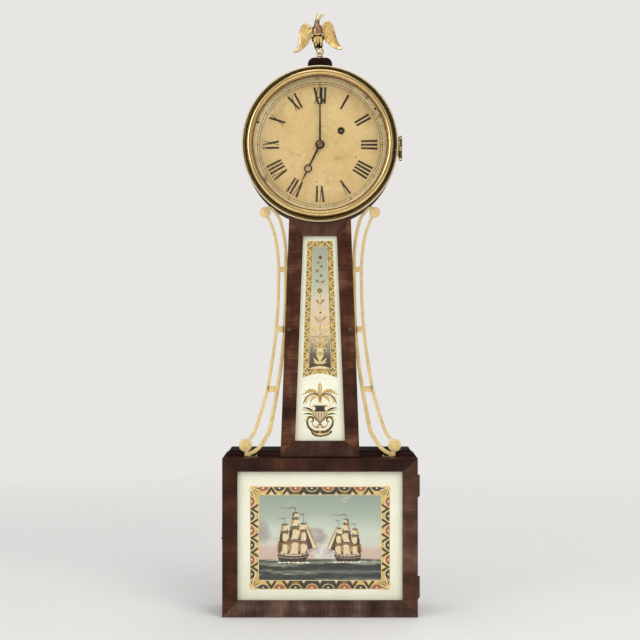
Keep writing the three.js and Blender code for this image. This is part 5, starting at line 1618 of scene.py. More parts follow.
# The ship is drawn in units of its own, bow towards +X, waterline at 0.
HULL = ((-17, 0.5), (-18.6, 5.4), (-18.9, 9.4), (-17.6, 8.2), (-10, 6.6), (0, 6.0), (9, 6.6),
        (16.5, 8.6), (18.5, 8.4), (15.6, 3.2), (13.6, -0.4), (6, -1.6), (-9, -1.6))
GUN_STRAKE = ((-18.3, 5.0), (-10, 3.6), (0, 3.1), (9, 3.7), (15.8, 5.4), (15.9, 6.4), (9, 5.0),
              (0, 4.4), (-10, 4.9), (-18.4, 6.3))
# place, height and length of streamer
MASTS = ((-11.5, 42, 8.0), (0.5, 52, 20.0), (10.5, 46, 5.0))
# mast, foot, head, half width at foot and head, colour of the shaded part
SQUARE_SAILS = (
    (-11.5, 8.8, 19.9, 5.2, 4.6, SAIL_DARK), (-11.5, 20.4, 29.8, 4.4, 3.4, SAIL_DARK),
    (-11.5, 30.6, 36.8, 3.2, 2.3, TAN), (0.5, 8.4, 21.9, 6.2, 5.6, TAN),
    (0.5, 22.4, 34.2, 5.3, 4.1, SAIL_DARK), (0.5, 35.0, 42.5, 3.9, 2.8, TAN),
    (0.5, 43.5, 47.6, 2.5, 1.8, SAIL_DARK), (10.5, 9.0, 20.3, 4.4, 4.0, TAN),
    (10.5, 20.8, 30.9, 3.9, 3.1, TAN), (10.5, 31.7, 37.8, 2.9, 2.1, SAIL),
)
# headsails and spanker
LOOSE_SAILS = (
    (SAIL, 3, ((13.2, 36.5), (26.0, 15.6), (15.6, 13.0))),
    (SAIL_DARK, 4, ((13.0, 34.0), (22.6, 14.6), (16.2, 12.6))),
    (TAN, 2, ((12.4, 42.0), (27.2, 16.2), (21.4, 18.6))),
    (TAN, 3, ((-13.2, 23.5), (-13.0, 10.8), (-20.8, 11.6), (-18.6, 20.8))),
)


def square_sail(lay, mast, low, top, low_half, top_half, shaded):
    """A bellied sail, its left part in shade, with its yard, foot rope and seams."""
    steps = 8
    w0, w1, h = low_half * 1.22, top_half * 1.22, top - low

    def side(k, belly):
        return w0 + belly * math.sin(math.pi * k / steps) - (w0 - w1) * k / steps

    left = [(mast - side(k, 0.9), low + h * k / steps) for k in range(steps + 1)]
    right = [(mast + side(k, 1.4), low + h * k / steps) for k in range(steps + 1)]
    foot = [(mast + w0 * (1 - 2 * k / 6), low - 0.6 + 0.7 * math.sin(math.pi * k / 6))
            for k in range(1, 6)]
    lay(SAIL, 3, left + right[::-1] + foot)
    lay(shaded, 4, left + [(mast - w1 * 0.50, top), (mast - w0 * 0.46 + 0.6, (low + top) / 2),
                           (mast - w0 * 0.62, low + 0.8)])
    lay(RUST_SOFT if shaded is TAN else GOLD_WORN, 5, [
        (mast - w1 * 0.95, top - 0.1), (mast + w1 * 1.12, top - 0.1),
        (mast + w1 * 0.95, top - 0.27 * h), (mast + w1 * 0.2, top - 0.13 * h),
        (mast - w1 * 0.45, top - 0.22 * h), (mast - w1 * 0.8, top - 0.34 * h)])
    lay(SAIL_DARK, 5, [(mast + w0 * 0.98, low + 0.2), (mast + w0 * 1.06, low + 0.45 * h),
                       (mast + w0 * 0.78, low + 0.25 * h), (mast + w0 * 0.55, low + 0.4)])
    lay(UMBER, 5, [(mast - w1 - 1.2, top - 0.15), (mast + w1 + 1.6, top + 0.15),
                   (mast + w1 + 1.6, top + 0.95), (mast - w1 - 1.2, top + 0.6)])
    lay(UMBER, 6, [(mast - w0 - 0.8, low - 0.2), (mast, low + 0.7), (mast + w0 + 0.8, low - 0.2),
                   (mast, low + 0.1)])
    for q in (-0.45, 0.1, 0.55):
        x0, x1 = mast + w0 * q, mast + w1 * q
        lay(TAN, 4, [(x0, low + 1.2), (x0 + 0.16, low + 1.2), (x1 + 0.16, top), (x1, top)])


def ship(art, x0, z0, unit, lean, facing, tall):
    """A three-masted ship with its waterline at (x0, z0). unit is in millimetres, facing is
    the side of the bow, and tall stretches what stands above the hull."""
    def at(points):
        out = []
        for x, z in points:
            if z >= 10:
                z = 10 + (z - 10) * tall
            out.append((x0 + facing * (x + lean * z) * unit, z0 + z * unit))
        return out

    def lay(colour, layer, points):
        art.lay(colour, layer, at(points))

    lay(BLACK, 2, HULL)
    lay(TAN, 3, GUN_STRAKE)
    for k in range(9):  # gun ports follow the sheer
        x = -15 + 3.4 * k
        z = 4.3 + (x * x) * 0.006
        lay(BLACK, 4, [(x - 0.6, z - 0.55), (x + 0.6, z - 0.55), (x + 0.6, z + 0.5),
                       (x - 0.6, z + 0.5)])
    lay(UMBER, 2, [(15, 8.6), (27.5, 15.4), (27.7, 15.9), (15, 9.6)])  # bowsprit
    for x, height, _ in MASTS:
        lay(UMBER, 2, [(x - 0.55, 7), (x + 0.55, 7), (x + 0.24, height), (x - 0.24, height)])
    for x, height, _ in MASTS:  # shrouds
        for dx in (-4.6, 4.4):
            lay(UMBER, 2, [(x + dx, 7.2), (x + dx + 0.36, 7.2), (x + 0.16, height * 0.62),
                           (x - 0.08, height * 0.62)])
    for sail in SQUARE_SAILS:
        square_sail(lay, *sail)
    for colour, layer, points in LOOSE_SAILS:
        lay(colour, layer, points)
    for x, height, length in MASTS:
        run = length * facing
        points = [(x + 0.3 * facing, height + 0.2), (x - 0.22 * run, height + 0.9),
                  (x - 0.45 * run, height + 0.1), (x - 0.72 * run, height + 0.8),
                  (x - run, height - 0.1)]
        art.line(UMBER, 3, smooth_line(at(points), 4), 1.05 * unit, 0.21 * unit)
    for k in range(-3, 4):  # foam at the waterline
        lay(WHITE if k % 2 else SAIL, 5, [
            (k * 5.4 - 3.4, -1.5 + 0.3 * (k % 2)), (k * 5.4, -0.5), (k * 5.4 + 3.6, -1.4),
            (k * 5.4 + 0.3, -2.5)])


GLASS_LAP = 3.6  # how far the painted glasses reach behind their frames


def door_tablet():
    lap, front = GLASS_LAP, -87.7
    outline = rect(DOOR_SIGHT_HALF + lap, DOOR_SIGHT_LOW - lap, DOOR_SIGHT_TOP + lap)
    Piece(plate(front, front + 2.5, outline)).fit("door_glass", [CREAM], "door", "door_tablet")
    art = Art(front)
    picture = rect(PICTURE_HALF, PICTURE_LOW, PICTURE_TOP)
    art.lay(PICTURE_PAINT, 1, picture)
    ship(art, -35.0, -550.8, unit=1.12, lean=0.03, facing=1, tall=1.24)
    ship(art, 36.0, -550.4, unit=0.98, lean=0.02, facing=-1, tall=1.22)
    door_band(art, rect(92.3, -587.8, -452.1), picture, 6)
    art.fit("door_painting", "door")


def throat_panel(art):
    """The tall panel, its patterned band and the cream arch that cuts the band's foot."""
    outer_low, outer_top, inner_low, inner_top = -306.5, -128.0, -297.0, -136.0

    def outer_half(z):
        return 17.0 + (z - -127.8) * (23.3 - 17.0) / (-309.8 + 127.8)

    def inner_half(z):
        return 8.9 + (z - -135.8) * (14.6 - 8.9) / (-296.4 + 135.8)

    half, top_half = inner_half(inner_low), inner_half(inner_top)
    inner = trapezoid(half, inner_low, top_half, inner_top)
    art.lay(GOLD_PALE, 0, inner)
    foot = [(x, inner_low + 3.2 * math.cos(x / half * math.pi / 2))
            for x in np.linspace(-half, half, 15)][1:-1]
    art.lay(PANEL_PAINT, 1, inner[:1] + foot + inner[1:])
    low = outer_low - 3.2
    throat_band(art, trapezoid(outer_half(outer_low), low, outer_half(outer_top), outer_top),
                inner, 3)
    end = outer_half(outer_low) - 0.3

    def arch(x, base):
        return (x, base + 5.6 * math.cos(x / end * math.pi / 2))

    art.lay(CREAM, 10, [(-end - 1.2, low - 0.2), (-end, low + 0.2)]
            + [arch(x, low) for x in np.linspace(-end + 0.6, end - 0.6, 21)]
            + [(end, low + 0.2), (end + 1.2, low - 0.2), (end + 1.2, low - 0.7),
               (-end - 1.2, low - 0.7)])
    art.line(GOLD_PALE, 11, [arch(x, low + 0.2) for x in np.linspace(-end, end, 23)], 0.55, 0.55)


PLANT_Z = -278.0
# heights in the plant are from PLANT_Z
VASE = ((-3.4, -13), (3.4, -13), (2.0, -10.4), (1.1, -8.6), (4.2, -3.6), (5.0, 2.4), (4.0, 6.4),
        (5.2, 8.2), (-5.2, 8.2), (-4.0, 6.4), (-5.0, 2.4), (-4.2, -3.6), (-1.1, -8.6),
        (-2.0, -10.4))
# pairs of leaves: height, angle from upright, length, width, bend, colour
PLANT_LEAVES = (
    (8, 34, 15, 3.2, -14, GOLD_PALE), (8, 56, 12, 2.8, 14, GOLD), (14, 26, 24, 3.2, -12, GOLD_PALE),
    (20, 44, 12, 2.4, -30, GOLD), (26, 30, 20, 2.8, -16, GOLD_PALE),
    (34, 40, 12, 2.4, -20, GOLD_PALE), (42, 34, 13, 2.4, -14, GOLD), (66, 30, 9, 1.9, -14, GOLD),
    (94, 38, 6, 1.5, -12, GOLD),
)
# x, height, radius, petals, colour of petals and eye
FLOWERS = (
    (0.6, 55, 5.4, 8, GOLD_PALE, OLIVE), (-0.4, 84, 3.9, 6, OLIVE, GOLD),
    (1.6, 104, 2.2, 5, OLIVE, RUST), (-4.0, 110, 2.4, 5, RUST, GOLD),
    (0.4, 128, 3.0, 6, RUST, UMBER),
)
# x, height, heading, colour of the single leaves on the stem
STEM_LEAVES = (
    (-2.4, 68, 120, OLIVE), (2.6, 69, 60, OLIVE), (-2.6, 95, 125, UMBER), (3.0, 94, 58, OLIVE),
    (1.4, 114, 70, UMBER), (-1.6, 119, 110, OLIVE),
)


def throat_plant(art):
    """A growing plant in a footed vase."""
    def up(points):
        return [(x, PLANT_Z + z) for x, z in points]

    art.lay(GOLD_PALE, 9, up(VASE))
    art.lay(GOLD, 10, up([(-3.2, -2), (3.2, -2), (3.9, 2.6), (-3.9, 2.6)]))
    for s in (-1, 1):
        art.lay(GOLD_PALE, 9, leaf(0, PLANT_Z - 13, 90 - s * 68, 12.5, 3.2, s * 22))
        art.lay(GOLD, 9, leaf(0, PLANT_Z - 13, 90 - s * 84, 10.0, 2.4, s * 10))
        handle = up([(s * 4.2, 6), (s * 7.4, 8.6), (s * 8.6, 4.2), (s * 6.4, 2.2)])
        art.line(GOLD_PALE, 9, smooth_line(handle, 4), 1.0, 0.4)
        for height, angle, length, width, bend, colour in PLANT_LEAVES:
            art.lay(colour, 9, leaf(s * 0.7, PLANT_Z + height, 90 - s * angle, length,
                                    width * 1.25, s * bend))
    stem = up([(0, 8), (0.9, 30), (-0.6, 52), (0.7, 78), (-0.4, 104), (0.3, 128)])
    art.line(GOLD, 9, smooth_line(stem), 0.9, 0.35)
    for x, height, radius, petals, colour, eye in FLOWERS:
        z = PLANT_Z + height
        for k in range(petals):
            art.lay(colour, 10, leaf(x, z, 90 + 360 * k / petals, radius, radius * 0.62))
        art.lay(eye, 11, circle(x, z, radius * 0.28, 12))
    for x, height, heading, colour in STEM_LEAVES:
        art.lay(colour, 10, leaf(x, PLANT_Z + height, heading, 4.6, 2.0))


# The urn below the panel; headings, bends and half outlines are for the right side.
# plumes: heading, length, width, bend, colour, layer
PLUMES = (
    (74, 17, 4.6, -40, OLIVE_DARK, 2), (56, 22, 5.0, -62, GOLD, 3), (40, 23.5, 4.6, -70, UMBER, 2),
    (30, 23, 4.2, -66, GOLD_PALE, 4), (18, 21, 3.6, -58, OLIVE, 3), (6, 16, 3.0, -50, GOLD, 4),
)
# blades: x, z, heading, length, width, bend, colour
BLADES = (
    (8.532, -355.037, 52, 17.0, 2.6, -34, OLIVE_DARK), (8.826, -356.214, 40, 17.5, 2.2, -30, GOLD),
    (8.238, -359.45, 34, 15.0, 2.2, -30, UMBER), (7.355, -362.392, 30, 13.0, 1.9, -28, GOLD),
    (8.826, -352.389, 70, 11.0, 2.2, -20, GOLD_PALE),
)
# scrolls: a broad dark sweep ending in a curl, a lighter face and a short inner stroke;
# colour, layer, steps to a span, width at start and end, line
SCROLLS = (
    (UMBER, 3, 5, 5.4, 1.2, (
        (0.588, -380.044), (5.884, -380.044), (11.768, -377.396), (15.593, -372.101),
        (16.475, -366.511), (14.416, -362.392), (10.885, -361.804), (8.826, -364.746),
        (10.003, -367.688), (12.356, -367.099))),
    (GOLD_PALE, 4, 5, 2.4, 0.7, (
        (0.588, -378.279), (5.59, -378.573), (10.885, -375.925), (14.416, -371.512),
        (15.298, -366.805), (13.827, -363.569), (11.18, -362.833))),
    (OLIVE, 4, 4, 2.2, 0.6, (
        (1.177, -374.748), (5.001, -375.043), (8.532, -372.689), (10.591, -369.159))),
)
STEM_TIP = (0, -314.732)
STEM_SIDE = [(2.059, -319.145), (2.942, -324.44), (1.765, -330.03), (2.942, -335.914),
             (2.059, -342.386)]
URN_SIDE = (
    (8.826, -345.328), (9.709, -346.211), (9.12, -347.388), (6.472, -348.27), (5.884, -350.624),
    (7.355, -352.683), (9.414, -355.037), (9.856, -357.685), (8.532, -361.509),
    (5.884, -365.334), (2.648, -367.982), (1.471, -369.453), (1.471, -370.63),
    (4.119, -372.395), (5.001, -373.866),
)
URN_NECK = [(8.238, -345.623), (9.12, -346.358), (8.238, -347.094), (6.031, -347.976),
            (5.443, -350.624), (6.767, -352.683), (8.532, -354.596)]
# boat-shaped base: dark, gold and pale shapes
BASE_DARK = (
    (-12.651, -378.867), (-9.12, -382.103), (-3.236, -383.28), (5.59, -382.692),
    (12.945, -380.044), (16.181, -379.161), (15.593, -382.398), (10.003, -385.928),
    (1.177, -387.987), (-6.178, -387.105), (-10.885, -384.163),
)
BASE_GOLD = (
    (-10.591, -380.044), (-6.178, -382.398), (0.441, -383.28), (7.355, -382.398),
    (13.827, -380.191), (11.474, -383.28), (5.59, -385.34), (-0.883, -385.928),
    (-6.472, -384.457),
)
BASE_PALE = ((-6.178, -382.986), (0.441, -384.016), (7.355, -382.986), (3.53, -384.751),
             (-1.177, -384.898))


def urn_leaves(art, s):
    """Plumes, blades and scrolls on one side of the urn."""
    def heading(angle):
        return angle if s > 0 else 180 - angle

    for angle, length, width, bend, colour, layer in PLUMES:
        z = -331.501 if layer % 2 else -334.443
        art.lay(colour, layer, leaf(s * 2.354, z, heading(angle), length, width, s * bend))
    for angle, length in ((50, 21), (34, 22.5), (22, 20)):  # veins
        points = []
        for t in np.linspace(0.1, 0.98, 9):
            a = math.radians(angle - 64 * t / 2)
            points.append((s * 2.648 + s * length * t * math.cos(a),
                           -333.266 + length * t * math.sin(a)))
        art.line(UMBER, 6, points, 0.35, 0.2)
    for x, z, angle, length, width, bend, colour in BLADES:
        art.lay(colour, 2, leaf(s * x, z, heading(angle), length, width, s * bend))
    for colour, layer, per, start, end, points in SCROLLS:
        art.line(colour, layer, smooth_line([(s * x, z) for x, z in points], per), start, end)
    art.lay(GOLD, 3, leaf(s * 15.887, -365.334, heading(12), 6.0, 1.5, -s * 14))


def throat_urn(art):
    """Fluted urn between leaf plumes and scrolls, with a stem standing in it."""
    for s in (-1, 1):
        urn_leaves(art, s)
    art.lay(GOLD, 7, [STEM_TIP] + mirrored(STEM_SIDE))
    art.lay(GOLD_PALE, 8, [(0, -317.379), (1.177, -322.675), (0.147, -329.442), (-0.883, -322.675)])
    art.lay(UMBER, 8, [(0, -331.207), (1.03, -335.914), (0.147, -341.504), (-0.883, -335.914)])
    for colour, layer, widen in ((GOLD, 5, 1.07), (RUST_SOFT, 6, 0.98)):
        art.lay(colour, layer, mirrored([(widen * x, z) for x, z in URN_SIDE]))
    art.lay(BLACK, 7, mirrored(URN_NECK))
    for half, z, width in ((9.12, -346.211, 0.9), (9.414, -354.743, 0.8)):
        art.line(GOLD_PALE, 8, [(-half, z), (half, z)], width, width)
    lows = (-361.509, -365.922, -367.688, -365.922, -361.509)
    for k, low in enumerate(lows, -2):  # flutes
        x = 3.6775 * k
        art.lay(SAIL, 7, [
            (x - 0.956, -355.331), (x + 0.956, -355.331), (x * 1.02 + 0.912, -358.273),
            (x * 0.60 + 0.441, low), (x * 0.60 - 0.441, low), (x * 1.02 - 0.912, -358.273)])
    art.lay(GOLD_PALE, 7, [(-3.825, -372.689), (3.825, -372.689), (4.707, -373.866),
                           (-4.707, -373.866)])
    art.lay(UMBER, 5, BASE_DARK)
    art.lay(GOLD, 6, BASE_GOLD)
    art.lay(GOLD_PALE, 7, BASE_PALE)


def throat_tablet():
    lap, front = GLASS_LAP, -76.7
    outline = trapezoid(THROAT_SIGHT_LOW_HALF + lap, THROAT_SIGHT_LOW - lap,
                        THROAT_SIGHT_TOP_HALF + lap, THROAT_SIGHT_TOP + lap)
    Piece(plate(front, front + 2.5, outline)).fit("throat_glass", [CREAM], "case", "throat_tablet")
    art = Art(front)
    throat_panel(art)
    throat_plant(art)
    throat_urn(art)
    art.fit("throat_painting", "case")


# ------------------------------------------------------------------------------------------------
# screws and hinges
# ------------------------------------------------------------------------------------------------
def frame_screws():
    profile = [(0, -84.75), (1.0, -84.7), (2.0, -84.45), (2.7, -84.05), (3.0, -83.6),
               (3.0, -83.3), (1.6, -83.3), (1.6, -71.6), (0, -71.6)]
    for s, tag in LEFT_RIGHT:
        x, z = s * 40.5, -245
        screw = Piece(lathe(profile, 32, (x, 0, z))).make(f"frame_screw_{tag}", [BRONZE])
        slot = block_cutter((x - 3.5, x + 3.5), (-86, -84.2), (z - 0.35, z + 0.35))
        centre = Matrix.Translation((x * MM, 0, z * MM))
        slot.data.transform(centre @ Matrix.Rotation(math.radians(35 * s), 4, "Y")
                            @ centre.inverted())
        shade(subtract(screw, slot), 35)
        place(screw, "case", f"throat_screw_{tag}")


HINGE_X, HINGE_Y, KNUCKLE_R = 106.5, -81.5, 2.3  # the bezel's hinge


def knuckle(low, top, bore=0.95, low_collar=0.0, top_collar=0.0):
    """Profile of one knuckle, with the heights of the polished collars at its ends."""
    waist, r = KNUCKLE_R - 0.25, KNUCKLE_R
    out = [(bore, low), (r - 0.45, low)]
    if low_collar:
        out += [(r - 0.02, low + 0.3), (r, low + low_collar - 0.3), (waist, low + low_collar)]
    else:
        out.append((waist, low + 0.25))
    if top_collar:
        out += [(waist, top - top_collar), (r, top - top_collar + 0.3), (r - 0.02, top - 0.3)]
    else:
        out.append((waist, top - 0.25))
    return out + [(r - 0.45, top), (bore, top)]


def darken_waists(obj):
    """Dark metal between the polished collars."""
    for face in obj.data.polygons:
        centre = face.center * 1000
        radius = math.hypot(centre.x - HINGE_X, centre.y - HINGE_Y)
        if face.material_index == 0 and radius < KNUCKLE_R - 0.12:
            face.material_index = 2


def bezel_hinge():
    """Two fixed knuckles below and a cap on top of the pin, the bezel's pair between."""
    centre = (HINGE_X, HINGE_Y, 0)
    profile = [(0, -22.6), (1.3, -22.5), (1.7, -22.2), (1.7, -21.8)]
    profile += knuckle(-21.7, -14.8, low_collar=3.0) + knuckle(-14.0, -7.1, top_collar=2.2)
    profile += [(0.8, -7.0), (0.8, 9.25), (1.6, 9.3), (1.7, 9.6), (1.6, 10.2), (1.2, 10.4),
                (0, 10.5)]
    fixed = Piece(lathe(profile, 32, centre, "Z"),
                  box((103.95, 105.15), (-79.2, -66), (-15, 1), bevel=0.3))
    fixed.add(box((103.9, 106.2), (-81, -78.6), (-20, -7.3), bevel=0.3), 2)
    screw = [(0, 105.75), (0.8, 105.7), (1.4, 105.45), (1.5, 105.1), (0, 105.1)]
    for z in (-11.5, -2.5):
        fixed.add(lathe(screw, 20, (0, -70.2, z), "X"), 1)
    # knuckles and pin cap in the bright copy of the brass: painted highlight
    obj = fixed.make("bezel_hinge_fixed", [BRASS_BEAD_LIT, STEEL, BRONZE], 18)
    darken_waists(obj)
    place(obj, "case", "bezel_hinge_case")

    profile = knuckle(-6.6, 1.1, bore=1.15, low_collar=2.4) + [(1.2, 1.1), (1.2, 1.9)]
    profile += knuckle(1.9, 9.1, bore=1.15, top_collar=3.0) + [(1.15, -6.6)]
    moving = Piece(lathe(profile, 32, centre, "Z"))
    for x_span, y_span, z_span in (
            ((103.2, 106.0), (-84.2, -82.4), (-5.5, 0.6)),
            ((103.2, 106.0), (-84.2, -82.4), (3.0, 8.4)),
            ((101.2, 103.75), (-84.1, -82.6), (-17.0, -4.9)),
            ((102.2, 103.75), (-84.1, -82.6), (0.2, 9.0))):
        moving.add(box(x_span, y_span, z_span, bevel=0.25), 1)
    # knuckles in the bright copy of the brass: painted highlight
    obj = moving.make("bezel_hinge_moving", [BRASS_BEAD_LIT, BRASS_AGED, BRONZE], 18)
    darken_waists(obj)
    place(obj, "bezel_assembly", "bezel_hinge_leaf")


def door_hinges():
    x, y, half = 130.6, -77.5, 14
    leaf_x = (128.8, 129.9)
    screw = [(0, 130.35), (0.9, 130.3), (1.5, 130.1), (1.6, 129.8), (0, 129.8)]
    lower = [(0, -14.6), (1.0, -14.5), (1.7, -13.8), (1.7, -0.2), (1.5, 0), (0.75, 0),
             (0.75, 14.0), (0.5, 14.2), (0, 14.2)]  # lower knuckle and its pin
    upper = [(1.1, 0.3), (1.5, 0.3), (1.7, 0.5), (1.7, 13.8), (1.5, 14), (1.1, 14), (1.1, 0.3)]

    def barrel(profile, zc):
        return lathe([(r, zc + h) for r, h in profile], 28, (x, y, 0), "Z")

    def finish(piece, name, zc, screw_y, middle_y, body, node):
        for z in (zc - 9, zc, zc + 9):
            piece.add(lathe(screw, 20, (0, middle_y if z == zc else screw_y, z), "X"), 1)
        piece.fit(name, [BRONZE, STEEL], body, node)

    for tag, zc in (("upper", -452), ("lower", -586)):
        fixed = Piece(barrel(lower, zc),
                      box(leaf_x, (-75.9, -62), (zc - half, zc + half), bevel=0.25),
                      box((128.8, 130.2), (-77.2, -75.6), (zc - half, zc - 0.3), bevel=0.2))
        finish(fixed, f"door_hinge_fixed_{tag}", zc, -67.5, -69.9, "case",
               f"door_hinge_case_{tag}")
        moving = Piece(barrel(upper, zc),
                       box(leaf_x, (-92, -79.1), (zc - half, zc + half), bevel=0.25),
                       box(leaf_x, (-79.5, -78.6), (zc + 0.3, zc + half), bevel=0.15))
        finish(moving, f"door_hinge_moving_{tag}", zc, -86.5, -84.1, "door",
               f"door_hinge_leaf_{tag}")


# ------------------------------------------------------------------------------------------------
# pendulum, weight, cord
# ------------------------------------------------------------------------------------------------
BOB_Y, BOB_Z, BOB_R = -62.5, -520, 29.0
PULLEY_Y, PULLEY_Z = -38.0, -436.0
CORD_R, CORD_X = 0.5, 18.95


def pendulum_bob():
    """Turned brass lens, slotted for the rod."""
    def face(side, shares):
        return [(BOB_R * t, BOB_Y + side * (6.5 * (1 - t**2.1) + 0.35)) for t in shares]

    profile = [(0, -69.2)] + face(-1, np.linspace(0.02, 1, 18))
    profile += [(29.4, -62.95), (29.6, BOB_Y), (29.4, -62.05)]
    profile += face(1, np.linspace(1, 0.02, 18)) + [(0, -56.0)]
    bob = Piece(lathe(profile, 96, (0, 0, BOB_Z))).make("bob_lens", [BRASS], 30)
    slot = block_cutter((-1.5, 1.5), (BOB_Y - 1.3, BOB_Y + 1.3), (BOB_Z - 40, BOB_Z + 40))
    shade(subtract(bob, slot), 35)
    place(bob, "bob", "pendulum_bob")


def rating_nut():
    outline = []
    for i in range(72):  # milled edge
        a = 2 * math.pi * i / 72
        radius = 5.0 - (0.28 if i % 2 else 0)
        outline.append((radius * math.cos(a), radius * math.sin(a)))
    rim = plate(-1.95, 1.95, outline, circle(0, 0, 2.0, 32), bevel=0.25)
    collar = [(2.0, -552.7), (3.0, -552.7), (3.0, -550.9), (2.7, -550.6), (2.0, -550.6),
              (2.0, -552.7)]
    Piece(laid_flat(rim, -554.55, depth=BOB_Y), lathe(collar, 32, (0, BOB_Y, 0), "Z")).fit(
        "nut_milled", [BRASS_AGED], "nut", "rating_nut")


def weight():
    """Cast block with chamfered shoulders, and the two cheeks and pin that hold the pulley."""
    piece = Piece(box((-22, 22), (-47.5, -24.5), (-610, -463), bevel=1.6, segments=3),
                  box((-18, 18), (-45, -27), (-465, -460), bevel=1.0))
    cheek = [(-4, -462), (4, -462), (4, -434), (2.6, -431.6), (-2.6, -431.6), (-4, -434)]
    for front in (-45.6, -32.6):
        piece.add(plate(front, front + 2.2, cheek, bevel=0.35))
    pin = [(0, -46.4), (2.1, -46.4), (2.3, -46.1), (2.3, -45.5), (1.4, -45.4), (1.4, -30.6),
           (2.3, -30.5), (2.3, -29.9), (2.1, -29.6), (0, -29.6)]
    piece.add(lathe(pin, 28, (0, 0, PULLEY_Z)))
    piece.fit("weight_casting", [IRON], "weight", "weight")


def pulley():
    profile = [(1.8, -41.4), (3.4, -41.4), (3.6, -41.0), (19.6, -41.0), (20.4, -40.8),
               (20.4, -40.2), (18.5, -39.0), (18.1, -38.2), (18.1, -37.8), (18.5, -37.0),
               (20.4, -35.8), (20.4, -35.2), (19.6, -35.0), (3.6, -35.0), (3.4, -34.6),
               (1.8, -34.6), (1.8, -41.4)]
    Piece(lathe(profile, 72, (0, 0, PULLEY_Z))).fit(
        "pulley_wheel", [BRASS_WORKS], "pulley", "pulley", smooth=30)


def cord():
    """A loop that rides with the weight, and two strands fixed to the case."""
    loop = [(CORD_X * math.cos(a), PULLEY_Y, PULLEY_Z + CORD_X * math.sin(a))
            for a in np.linspace(0, -math.pi, 40)]
    Piece(tube(loop, CORD_R, 12)).fit("cord_loop", [GUT], "weight")
    strands = (("right", CORD_X, 16.6, ["weight_cord"]), ("left", -CORD_X, -23.2, []))
    for tag, x, top, nodes in strands:
        length = top - PULLEY_Z
        points = [(x, PULLEY_Y, PULLEY_Z + length * k / 60) for k in range(61)]
        strand = Piece(tube(points, CORD_R, 12)).make(f"cord_strand_{tag}", [GUT])
        place(strand, "case", *nodes)
        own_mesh(strand)


def finishes():
    """Materials for the frame's own parts that keep their shapes."""
    parts = (
        (PINE_INSIDE, "seatboard"),
        (BRASS_WORKS, "back_plate front_plate center_wheel great_wheel third_wheel escape_wheel "
                      "minute_wheel hour_wheel pendulum_bridge pillar_lower_left "
                      "pillar_lower_right pillar_upper_left pillar_upper_right"),
        (STEEL_WORKS, "cannon_pinion click winding_drum pallet_anchor"),
        (IRON, "pendulum_rod"),
        (TIN, "weight_baffle"),
        (BRASS_AGED, "door_hook door_hook_pin"),
    )
    for mat, names in parts:
        for name in names.split():
            materials = frame["nodes"][name].data.materials
            materials.clear()
            materials.append(mat)


# ------------------------------------------------------------------------------------------------
# floor, world, lights, camera (metres)
# ------------------------------------------------------------------------------------------------
BACKDROP = (0.80, 0.79, 0.77, 1)


def floor():
    half, z = 14.0, (BOX_LOW - 0.5) * MM
    mesh = bpy.data.meshes.new("floor")
    mesh.from_pydata([(-half, -half, z), (half, -half, z), (half, half, z), (-half, half, z)],
                     [], [(0, 1, 2, 3)])
    obj = bpy.data.objects.new("floor", mesh)
    scene.collection.objects.link(obj)
    m = material("floor_pale")
    tone = m.noise(m.object_coords(), scale=3.0, detail=4)
    lit = m.principled(m.mix(tone, BACKDROP, (0.84, 0.83, 0.81)), rough=0.9, spec=0.1)
    # the camera sees the floor melt into the backdrop with distance
    x, y, z = m.split(m.node("NewGeometry").outputs["Position"])
    fade = m.remap(m.hypot(x, y), (0.35, 1.7))
    glow = m.node("Emission", Color=BACKDROP).outputs[0]
    seen = m.mul(fade, m.node("LightPath").outputs["Is Camera Ray"])
    mesh.materials.append(m.finish(m.mix_shader(seen, lit, glow)))


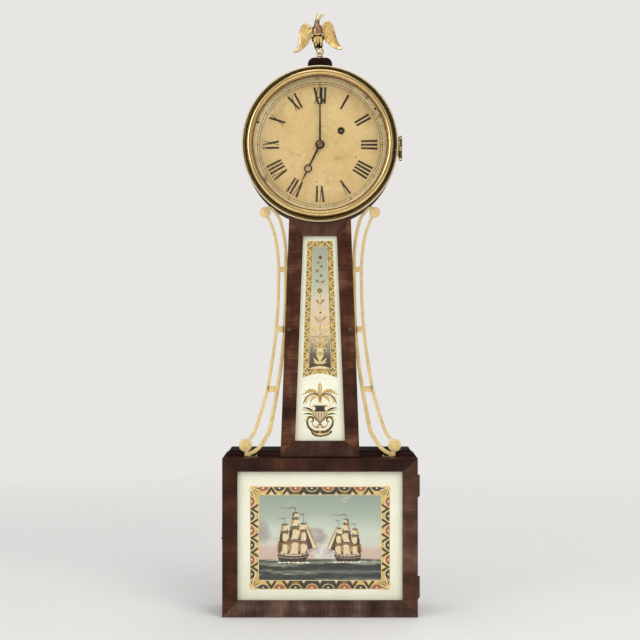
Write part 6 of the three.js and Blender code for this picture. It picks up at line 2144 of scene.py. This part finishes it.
def world():
    scene.world = bpy.data.worlds.new("world")
    w = Shader(scene.world, "OutputWorld")
    backdrop = w.node("Background", Color=BACKDROP, Strength=1.0).outputs[0]
    soft = w.node("Background", Color=(0.98, 0.985, 1.0, 1), Strength=0.50).outputs[0]
    # reflections: brightness from behind the clock (0) round to behind the camera (1),
    # brightest in a ring about the camera and dark beside the clock
    brightness = ((0.0, 0.10), (0.50, 0.04), (0.60, 0.08), (0.68, 0.75), (0.88, 0.95),
                  (0.955, 0.30), (1.0, 0.16))
    direction = w.node("TexCoord").outputs["Generated"]
    towards_camera = w.remap(w.split(direction)[1], (1, -1))
    reflected = w.ramp(towards_camera, [(at, (v, v, v)) for at, v in brightness])
    gloss = w.node("Background", Color=reflected, Strength=0.9).outputs[0]
    rays = w.node("LightPath").outputs
    unseen = w.mix_shader(rays["Is Glossy Ray"], soft, gloss)
    w.finish(w.mix_shader(rays["Is Camera Ray"], unseen, backdrop))


def area_light(name, location, size, power, colour=(1, 1, 1), glossy=True):
    light = bpy.data.lights.new(name, "AREA")
    light.energy = power
    light.color = colour
    light.size = size
    obj = bpy.data.objects.new(name, light)
    obj.location = location
    aim = Vector((0, -0.05, -0.22)) - Vector(location)
    obj.rotation_euler = aim.to_track_quat("-Z", "Y").to_euler()
    obj.visible_glossy = glossy
    scene.collection.objects.link(obj)


def lights():
    warm = (1.0, 0.985, 0.955)
    area_light("key", (1.1, -1.7, 1.2), size=1.2, power=20, colour=warm, glossy=False)
    area_light("fill", (-1.5, -1.7, 0.45), size=1.4, power=12, colour=(0.98, 0.985, 0.99))
    area_light("front", (0.0, -2.3, 0.1), size=1.6, power=12, colour=warm, glossy=False)
    area_light("top", (0.0, -0.1, 1.6), size=1.2, power=8)
    area_light("rim", (0.5, 1.7, 0.9), size=1.2, power=7, glossy=False)


def camera():
    lens = bpy.data.cameras.new("camera")
    lens.sensor_width = 36.0
    lens.lens = 79.3
    lens.clip_end = 60
    obj = bpy.data.objects.new("camera", lens)
    obj.location = (0.0, -1.945, -0.2329)
    obj.rotation_euler = (math.pi / 2, 0, 0)
    scene.collection.objects.link(obj)
    scene.camera = obj
    scene.view_settings.view_transform = "Standard"
    scene.view_settings.look = "None"


door_frame()
throat_frame()
head_drum()
side_boards()
box_ends()
back_board()
hanger()
cappings()
plinth()
bezel()
dome_glass()
dial_plate()
minute_track()
numerals()
hands()
for s, tag in reversed(LEFT_RIGHT):
    side_arm(s, tag)
    arm_foot(s, tag)
eagle()
door_tablet()
throat_tablet()
frame_screws()
bezel_hinge()
door_hinges()
pendulum_bob()
rating_nut()
weight()
pulley()
cord()
finishes()
floor()
world()
lights()
camera()
